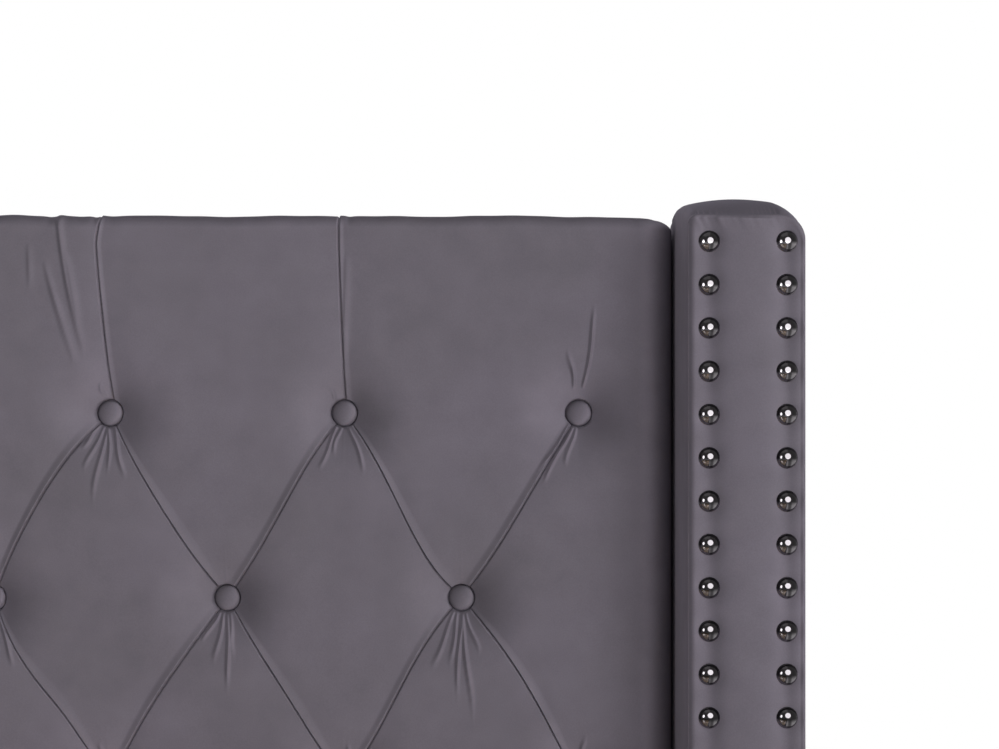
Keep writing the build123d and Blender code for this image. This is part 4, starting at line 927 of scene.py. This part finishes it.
def apron_panel():
    """Plain padded panel below the tufting, behind the storage box."""
    columns, rows = ((260, 50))
    bm, i, j = fresh_grid(columns + 1, rows + 1)
    half, low, high = APRON_HALF, BACK_LOW, PAD_FOOT - 0.0010
    # the outer five cells each way make the rolled edge
    roll, start = 0.0115, 0.005
    u = np.interp(
        i, [0, 5, columns - 5, columns], [-half - roll, -half + start, half - start, half + roll]
    )
    v = np.interp(j, [0, 5, rows - 5, rows], [low - roll, low + start, high - start, high + roll])
    x = np.clip(u, -half, half)
    z = np.clip(v, low, high)
    past = np.maximum(np.abs(u) - half, np.maximum(low - v, v - high)).clip(0)
    edge = np.minimum(np.minimum(half - np.abs(x), z - low), high - z)
    round_in = 0.004 * (1 - np.sqrt(1 - unit(1 - edge / 0.004) ** 2))
    y = APRON_FRONT + round_in * 0.8 + past * 0.7 - 0.0016 * smoothstep(edge / 0.06)
    y = y + 0.0004 * ripple(x + z * 1.3, 10, 16) * smoothstep(edge / 0.03)
    place(bm, x, np.minimum(y, PAD_BACK - 0.0004), z)
    bmesh.ops.remove_doubles(bm, verts=bm.verts[:], dist=MERGE)
    return bm


# Strap


def pull_strap():
    """Webbing strap bowed over the foot tube, its ends laid flat and sewn."""
    half, tail, low, thick, rise = 0.065, 0.026, 0.313, 0.0019, 0.018
    y0, y1 = -0.9918, -0.9722
    radius = (half**2 + (rise - thick) ** 2) / (2 * (rise - thick))
    centre = low + rise - thick / 2 - radius
    limit = math.asin(half / radius)
    line = [(-half - tail + tail * k / 6, low + thick / 2) for k in range(6)]
    for k in range(41):
        a = -limit + 2 * limit * k / 40
        line.append((radius * math.sin(a), centre + radius * math.cos(a)))
    line += [(half + tail * k / 6, low + thick / 2) for k in range(1, 7)]
    bm, i, j = fresh_grid(len(line), 9)
    x, z = np.array(line).T[:, i]
    # the webbing's long edges lie a little lower
    place(bm, x, y0 + (y1 - y0) * j / 8, z - 0.0002 * (np.abs(j / 8 - 0.5) * 2) ** 6)
    run = np.cumsum([0] + [math.hypot(b[0] - a[0], b[1] - a[1]) for a, b in zip(line, line[1:])])
    spots = {v: (run[a], (y1 - y0) * b / 8) for v, a, b in zip(bm.verts, i, j)}
    weave = bm.loops.layers.uv.new("weave")
    for face in bm.faces:
        for loop in face.loops:
            loop[weave].uv = spots[loop.vert]
    return bm


# Materials


def material(name):
    """A fresh material with its tree and its main shader."""
    mat = bpy.data.materials.new(name)
    mat.use_nodes = True
    tree = mat.node_tree
    return mat, tree, tree.nodes["Principled BSDF"]


def fill(tree, made, inputs):
    """Give each named or numbered input of a node a value, or a link from a socket."""
    for key, value in inputs.items():
        if isinstance(value, bpy.types.NodeSocket):
            tree.links.new(value, made.inputs[key])
        else:
            made.inputs[key].default_value = value


def node(tree, kind, inputs=None, **settings):
    """A new node with these settings and inputs."""
    made = tree.nodes.new(kind)
    for key, value in settings.items():
        setattr(made, key, value)
    fill(tree, made, inputs or {})
    return made


def object_coords(tree):
    """Places and normals in the piece's own frame."""
    return node(tree, "ShaderNodeTexCoord").outputs


def noise(tree, vector, scale, **inputs):
    """The factor of a noise texture."""
    inputs |= {"Vector": vector, "Scale": scale}
    return node(tree, "ShaderNodeTexNoise", inputs).outputs["Fac"]


def worked(tree, operation, *sources):
    """The result of a maths node on values or sockets."""
    return node(tree, "ShaderNodeMath", dict(enumerate(sources)), operation=operation).outputs[0]


def mapped(tree, value, source, target, ease="LINEAR"):
    """A value mapped from one range to another."""
    ends = {"From Min": source[0], "From Max": source[1], "To Min": target[0], "To Max": target[1]}
    made = node(tree, "ShaderNodeMapRange", {"Value": value, **ends}, interpolation_type=ease)
    return made.outputs["Result"]


def toned(tree, value, low, high, first, second):
    """The first colour, mixed to the second as a value goes from low to high."""
    ramp = node(tree, "ShaderNodeValToRGB", {"Fac": value})
    ramp.color_ramp.elements[0].position = low
    ramp.color_ramp.elements[1].position = high
    inputs = {"Factor": ramp.outputs["Color"], 6: first, 7: second}
    return node(tree, "ShaderNodeMix", inputs, data_type="RGBA").outputs[2]


def group_shell(name, inputs, outputs):
    """An empty node group. The kind of each input goes by its value; Color is a colour output."""
    group = bpy.data.node_groups.new(name, "ShaderNodeTree")
    for label, value in inputs.items():
        kind = "Float" if isinstance(value, float) else "Color" if len(value) == 4 else "Vector"
        socket = group.interface.new_socket(
            name=label, in_out="INPUT", socket_type="NodeSocket" + kind
        )
        socket.default_value = value
    for label in outputs:
        kind = "Color" if label == "Color" else "Float"
        group.interface.new_socket(name=label, in_out="OUTPUT", socket_type="NodeSocket" + kind)
    return group, group.nodes.new("NodeGroupInput").outputs, group.nodes.new("NodeGroupOutput")


def grouped(name, group, inputs, bump, finish):
    """A material whose colour and bump, and roughness unless given, come from a node group."""
    mat, tree, shader = material(name)
    source = node(tree, "ShaderNodeGroup", inputs, node_tree=group).outputs
    strength, distance = bump
    relief = node(
        tree, "ShaderNodeBump",
        {"Strength": strength, "Distance": distance, "Height": source["Height"]},
    )
    if "Roughness" not in finish:
        finish["Roughness"] = source["Roughness"]
    fill(tree, shader, {
        "Base Color": source["Color"], "Normal": relief.outputs["Normal"], **finish,
    })
    return mat


def pile_group():
    """Velvet pile: colour drift where the nap lies over, painted light and shade by which way the
    velvet faces, and a fine short-pile height.
    """
    group, start, end = group_shell("velvet_pile", {
        "Base": (0.5, 0.5, 0.5, 1), "Brushed": (0.5, 0.5, 0.5, 1), "Drift Scale": 6.0,
        "Pile Scale": 900.0, "Painted Light Way": (0.75, -0.02, -0.30),
    }, ("Color", "Height", "Roughness"))
    at = object_coords(group)
    drift = noise(group, at["Object"], start["Drift Scale"], Detail=3.0, Roughness=0.55)
    patches = noise(group, at["Object"], 38.0, Detail=5.0)
    speck = noise(group, at["Object"], start["Pile Scale"], Detail=2.0)
    mottle = worked(group, "MULTIPLY_ADD", speck, 0.45, worked(group, "MULTIPLY", patches, 0.55))
    value = mapped(group, mottle, (0.3, 0.7), (0.90, 1.10))
    # painted light and shade: velvet that faces right and down is painted lighter, and velvet that
    # faces left or up is painted darker, as if lit from the right
    facing = node(
        group, "ShaderNodeVectorMath", {0: at["Normal"], 1: start["Painted Light Way"]}, operation="DOT_PRODUCT"
    ).outputs["Value"]
    painted_facing_shade = mapped(group, facing, (-0.30, 0.33), (0.56, 1.42), "SMOOTHSTEP")
    # and velvet that faces well away from that way gets a painted sheen and lightens again
    away = mapped(group, facing, (-0.76, -0.42), (0.22, 0.0), "SMOOTHSTEP")
    shade = node(group, "ShaderNodeHueSaturation", {
        "Value": worked(group, "MULTIPLY", value, worked(group, "ADD", painted_facing_shade, away)),
        "Color": toned(group, drift, 0.36, 0.66, start["Base"], start["Brushed"]),
    })
    rough = mapped(group, patches, (0.0, 1.0), (0.62, 0.82))
    fill(group, end, {"Color": shade.outputs["Color"], "Height": speck, "Roughness": rough})
    return group


def grain_group():
    """Long wood grain with darker growth lines, run along one axis by its stretch."""
    group, start, end = group_shell("wood_grain", {
        "Light": (0.6, 0.45, 0.3, 1), "Dark": (0.4, 0.28, 0.17, 1), "Stretch": (2.0, 40.0, 40.0),
    }, ("Color", "Height"))
    stretched = node(
        group, "ShaderNodeVectorMath", {0: object_coords(group)["Object"], 1: start["Stretch"]},
        operation="MULTIPLY",
    ).outputs[0]
    grain = noise(group, stretched, 1.0, Detail=8.0, Roughness=0.62, Distortion=0.6)
    color = toned(group, grain, 0.38, 0.64, start["Dark"], start["Light"])
    fill(group, end, {"Color": color, "Height": grain})
    return group


def painted_reflection_group():
    """Painted reflection on a domed nail by which way it faces: dark above, paler below with a dark
    stripe, and a bright right rim.
    """
    group, start, end = group_shell("nail_painted_reflection", {
        "Metal": (0.9, 0.9, 0.9, 1), "Upper Reflection": 0.024, "Lower": 0.21, "Rim Reflection": 0.5,
    }, ("Color",))
    facing = node(group, "ShaderNodeSeparateXYZ", {0: object_coords(group)["Normal"]}).outputs
    # painted reflection: a paler lower half as if the floor were mirrored there, split by a dark
    # upright stripe, and a bright rim on the right
    aside = worked(group, "ABSOLUTE", worked(group, "SUBTRACT", facing["X"], 0.12))
    reflection_stripe = mapped(group, aside, (0.05, 0.22), (0.2, 1.0), "SMOOTHSTEP")
    below = mapped(group, facing["Z"], (-0.34, 0.02), (1.0, 0.0), "SMOOTHSTEP")
    rim = mapped(group, facing["X"], (0.80, 0.94), (0.0, 1.0), "SMOOTHSTEP")
    low = worked(group, "MULTIPLY", below, reflection_stripe)
    value = worked(group, "MULTIPLY_ADD", low, start["Lower"], start["Upper Reflection"])
    value = worked(group, "MULTIPLY_ADD", rim, start["Rim Reflection"], value)
    shade = node(group, "ShaderNodeHueSaturation", {"Value": value, "Color": start["Metal"]})
    fill(group, end, {"Color": shade.outputs["Color"]})
    return group


def speckle_group():
    """Fine speckle and cloudy wear for powder coat, mouldings, boards and plated steel."""
    group, start, end = group_shell("fine_speckle", {
        "Base": (0.1, 0.1, 0.1, 1), "Worn": (0.2, 0.2, 0.2, 1), "Grit": 600.0,
        "Rough Low": 0.4, "Rough High": 0.6,
    }, ("Color", "Height", "Roughness"))
    at = object_coords(group)["Object"]
    cloud = noise(group, at, 22.0, Detail=6.0)
    fill(group, end, {
        "Color": toned(group, cloud, 0.45, 0.75, start["Base"], start["Worn"]),
        "Height": noise(group, at, start["Grit"], Detail=4.0),
        "Roughness": mapped(group, cloud, (0.0, 1.0), (start["Rough Low"], start["Rough High"])),
    })
    return group


GRAIN = grain_group()
SPECKLE = speckle_group()


def velvet():
    """Grey velvet with a soft sheen and no other gloss."""
    inputs = {"Base": (0.114, 0.103, 0.122, 1), "Brushed": (0.127, 0.1135, 0.138, 1)}
    return grouped("grey_velvet", pile_group(), inputs, (0.12, 0.0004), {
        "Sheen Weight": 0.10, "Sheen Roughness": 0.5, "Sheen Tint": (0.60, 0.56, 0.68, 1),
        "Specular IOR Level": 0.0,
    })


def wood(name, light, dark, stretch, roughness, coat=0.0):
    """Grained timber, with or without a coat of lacquer."""
    inputs = {"Light": (*light, 1), "Dark": (*dark, 1), "Stretch": stretch}
    finish = {"Roughness": roughness, "Coat Weight": coat, "Coat Roughness": 0.2}
    return grouped(name, GRAIN, inputs, (0.15, 0.0004), finish)


def speckled(base, worn, grit, rough):
    """Inputs of the speckle group."""
    return {
        "Base": (*base, 1), "Worn": (*worn, 1), "Grit": grit,
        "Rough Low": rough[0], "Rough High": rough[1],
    }


def coated(name, base, worn, rough, grit, bump=(0.2, 0.0002), metallic=0.0):
    """Speckled steel, moulding, board or cloth."""
    return grouped(name, SPECKLE, speckled(base, worn, grit, rough), bump, {"Metallic": metallic})


def nail_metal():
    """Polished metal with a painted reflection that goes by which way it faces."""
    mat, tree, shader = material("nail_chrome")
    inputs = speckled((0.96, 0.90, 0.95), (0.80, 0.75, 0.79), 300.0, (0.05, 0.08))
    speck = node(tree, "ShaderNodeGroup", inputs, node_tree=SPECKLE).outputs
    painted_reflection = node(tree, "ShaderNodeGroup", {"Metal": speck["Color"]}, node_tree=painted_reflection_group())
    fill(tree, shader, {
        "Base Color": painted_reflection.outputs["Color"], "Roughness": speck["Roughness"], "Metallic": 1.0,
    })
    return mat


VELVET = velvet()
CHROME = nail_metal()
BEECH = wood("slat_beech", (0.74, 0.54, 0.34), (0.56, 0.37, 0.20), (3.0, 60.0, 60.0), 0.38, 0.25)
PINE = wood("frame_pine", (0.70, 0.52, 0.32), (0.50, 0.33, 0.18), (30.0, 30.0, 4.0), 0.62)
FEET = wood("stained_feet", (0.045, 0.03, 0.022), (0.02, 0.012, 0.009), (40.0, 40.0, 6.0), 0.3, 0.3)
# name, base and worn colour, least and most roughness, grit, bump and whether it is bare metal
(
    RAIL_BOARD, FLOOR_BOARD, ZINC, BLACK_STEEL, ROD_STEEL, PLASTIC, RUBBER, LINING, WEBBING,
) = (coated(*row) for row in (
    ("chipboard", (0.40, 0.30, 0.20), (0.35, 0.26, 0.17), (0.7, 0.85), 260.0, (0.4, 0.0006)),
    ("floor_hardboard", (0.115, 0.11, 0.115), (0.14, 0.135, 0.14), (0.55, 0.7), 420.0),
    ("zinc_plate", (0.55, 0.55, 0.56), (0.42, 0.42, 0.40), (0.3, 0.5), 500.0, (0.2, 0.0002), 1.0),
    ("black_powder_coat", (0.022, 0.022, 0.024), (0.035, 0.035, 0.037), (0.36, 0.5), 700.0),
    (
        "polished_rod", (0.72, 0.72, 0.74), (0.62, 0.62, 0.64), (0.12, 0.2), 300.0,
        (0.05, 0.00005), 1.0,
    ),
    ("black_moulding", (0.018, 0.018, 0.018), (0.03, 0.03, 0.03), (0.45, 0.6), 500.0),
    ("bumper_rubber", (0.014, 0.014, 0.014), (0.024, 0.024, 0.024), (0.75, 0.9), 300.0),
    (
        "lining_cloth", (0.02, 0.02, 0.021), (0.032, 0.032, 0.034), (0.85, 0.95), 900.0,
        (0.5, 0.0005),
    ),
    (
        "black_webbing", (0.02, 0.02, 0.022), (0.035, 0.035, 0.037), (0.7, 0.85), 1400.0,
        (0.6, 0.0006),
    ),
))

SIDES = ("left", "right")
FINISHES = (
    (PINE, (
        "headboard_stiles", "headboard_crossrails", "floor_ledgers", "centre_beam",
        "centre_beam_legs", "platform_rest_blocks",
    )),
    (RAIL_BOARD, (
        "headboard_front_board", "foot_rail_board",
        *(f"{word}_{name}" for word in SIDES for name in ("wing_frame", "side_rail_board")),
    )),
    (FLOOR_BOARD, tuple(f"storage_floor_panel_{n}" for n in (1, 2, 3, 4))),
    (FEET, ("rail_feet",)),
    (BEECH, ("left_slats", "right_slats")),
    (ZINC, (
        "wing_bolts", "frame_bolts", "rail_splice_plates", "foot_corner_brackets", "hinge_pins",
    )),
    (BLACK_STEEL, (
        *(f"platform_{name}" for name in (
            "left_tube", "right_tube", "head_tube", "foot_tube", "centre_tube", "cross_tubes",
        )),
        *(f"{word}_{name}" for word in SIDES for name in (
            "hinge_plate", "lift_arm", "lift_crank", "lift_link", "gas_cylinder",
        )),
    )),
    (ROD_STEEL, ("left_gas_rod", "right_gas_rod")),
    (PLASTIC, ("headboard_glides", "tube_end_plugs", "side_slat_caps", "centre_slat_caps")),
    (RUBBER, ("platform_bumpers",)),
)
for finish, names in FINISHES:
    for name in names:
        cad_mesh = NODES[name].data
        cad_mesh.materials.clear()
        cad_mesh.materials.append(finish)


# Pieces


def thicken(obj, amount, offset=-1.0):
    """Give a surface a wall, inwards unless told otherwise."""
    wall = obj.modifiers.new("wall", "SOLIDIFY")
    wall.thickness = amount
    wall.offset = offset


panel = new_piece("tufted_panel", tufted_panel(), "bed_frame", VELVET)
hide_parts("headboard_tufted_pad")

button_seats = [Vector((x, PAD_FRONT + DIMPLE, z)) for x, z, _ in BUTTONS]
button_heads = repeated(covered_button(), button_seats, button_turn)
buttons = new_piece("covered_buttons", button_heads, "bed_frame", VELVET)
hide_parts("headboard_buttons")

ties = new_piece("button_twine", repeated(button_tie(), button_seats), "bed_frame", WEBBING)
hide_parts("headboard_button_ties")

nail_places = [
    Vector((side * x, WING_FRONT + 0.0022, NAIL_TOP - n * NAIL_PITCH))
    for side in (-1, 1) for x in NAIL_COLUMNS for n in range(NAIL_COUNT)
]
nails = new_piece("domed_nails", repeated(domed_nail(), nail_places), "bed_frame", CHROME)
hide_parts("wing_studs")

# name, shape, the node that it stands for, and the thickness of an open shape
for name, shape, stands_for, wall in (
    ("left_wing_velvet", wing_cover(-1), "left_wing_cover", VELVET_WALL),
    ("left_rail_velvet", rail_cover(-1), "left_side_rail_cover", VELVET_WALL),
    ("right_wing_velvet", wing_cover(1), "right_wing_cover", VELVET_WALL),
    ("right_rail_velvet", rail_cover(1), "right_side_rail_cover", VELVET_WALL),
    ("foot_rail_velvet", foot_cover(), "foot_rail_cover", VELVET_WALL),
    ("apron_velvet", apron_panel(), "headboard_apron", None),
):
    cushion = new_piece(name, shape, "bed_frame", VELVET)
    if wall:
        thicken(cushion, wall)
    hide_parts(stands_for)

lining = new_piece("back_lining", lining_sheet(), "bed_frame", LINING)
thicken(lining, 0.0005)
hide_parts("headboard_rear_cover")

pins = new_piece("lining_staples", staples(), "bed_frame", ZINC)

strap = new_piece("webbing_strap", pull_strap(), "platform", WEBBING)
thicken(strap, 0.0018, 0.0)
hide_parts("pull_strap")


# Studio


def seen_ray(tree):
    """1 for a camera, glossy or transmission ray, otherwise 0."""
    rays = node(tree, "ShaderNodeLightPath").outputs
    shown = worked(tree, "MAXIMUM", rays["Is Camera Ray"], rays["Is Glossy Ray"])
    return worked(tree, "MAXIMUM", shown, rays["Is Transmission Ray"])


def studio_floor():
    """A pale floor that goes over into the white background away from the bed."""
    bm = bmesh.new()
    bmesh.ops.create_circle(bm, cap_ends=True, segments=128, radius=4.0)
    mesh = bpy.data.meshes.new("studio_floor")
    bm.to_mesh(mesh)
    bm.free()
    linked("studio_floor", mesh)
    mat, tree, shader = material("pale_floor")
    fill(tree, shader, {
        "Base Color": (0.84, 0.84, 0.84, 1), "Roughness": 0.9, "Specular IOR Level": 0.1,
    })
    at = object_coords(tree)["Object"]
    reach = node(tree, "ShaderNodeVectorMath", {0: at}, operation="LENGTH").outputs["Value"]
    fade = mapped(tree, reach, (1.8, 3.8), (0.45, 1.0), "SMOOTHSTEP")
    mix = node(tree, "ShaderNodeMixShader", {
        0: worked(tree, "MULTIPLY", fade, seen_ray(tree)), 1: shader.outputs[0],
        2: node(tree, "ShaderNodeEmission").outputs[0],
    })
    fill(tree, tree.nodes["Material Output"], {"Surface": mix.outputs[0]})
    mesh.materials.append(mat)


def studio_world():
    """Soft light all round, seen as plain white."""
    world = bpy.data.worlds.new("studio")
    bpy.context.scene.world = world
    world.use_nodes = True
    tree = world.node_tree
    tree.nodes.clear()
    soft, white = (
        node(tree, "ShaderNodeBackground", {"Color": color, "Strength": strength}).outputs[0]
        for color, strength in (((0.97, 0.98, 1.0, 1), 0.20), ((1, 1, 1, 1), 1.0))
    )
    mix = node(tree, "ShaderNodeMixShader", {0: seen_ray(tree), 1: soft, 2: white})
    node(tree, "ShaderNodeOutputWorld", {"Surface": mix.outputs[0]})


def lamp(name, spot, aim, size, power, shape="RECTANGLE"):
    """An area light at a spot, turned to its aim."""
    data = bpy.data.lights.new(name, "AREA")
    data.shape = shape
    data.size, data.size_y = size
    data.energy = power
    obj = linked(name, data)
    obj.location = spot
    obj.rotation_euler = (Vector(aim) - Vector(spot)).to_track_quat("-Z", "Y").to_euler()
    return obj


def view_camera():
    """The photograph's view, level and square to the headboard."""
    width, focal, distance = 999, 1625, 1.415
    data = bpy.data.cameras.new("view_camera")
    data.sensor_width = 36.0
    data.lens = focal / width * 36
    data.clip_start = 0.01
    data.clip_end = 60
    obj = linked("view_camera", data)
    obj.location = (0.6515, PAD_FRONT - distance, 1.127)
    obj.rotation_euler = (math.radians(90), 0, 0)
    bpy.context.scene.camera = obj


studio_floor()
studio_world()
key = lamp("key_right", (1.45, -0.80, 1.50), (0.50, 0.97, 1.0), (1.1, 1.1), 25)
left = lamp("side_left", (-1.10, -0.10, 1.30), (0.8, 0.9, 1.1), (0.75, 0.75), 17)
# round sources that only polished metal shows
for unseen, shown in (
    (key, lamp("key_gleam", (1.12, -0.78, 1.46), (0.85, 0.87, 1.0), (1.5, 1.5), 205, "DISK")),
    (left, lamp("side_gleam", (-1.00, -0.40, 1.26), (0.8, 0.9, 1.1), (0.95, 0.95), 125, "DISK")),
):
    unseen.visible_glossy = False
    shown.visible_diffuse = False
foot_soft = lamp("foot_soft", (0.3, -2.7, 0.95), (0.0, -1.0, 0.3), (1.8, 0.9), 11)
foot_soft.visible_glossy = False
lamp("top_soft", (0.0, 0.1, 3.4), (0.0, 0.1, 0.0), (2.4, 2.4), 24)
lamp("back_soft", (-0.8, 3.4, 2.0), (0.0, 0.8, 0.7), (2.0, 1.6), 50)
view_camera()
bpy.context.scene.view_settings.view_transform = "Standard"
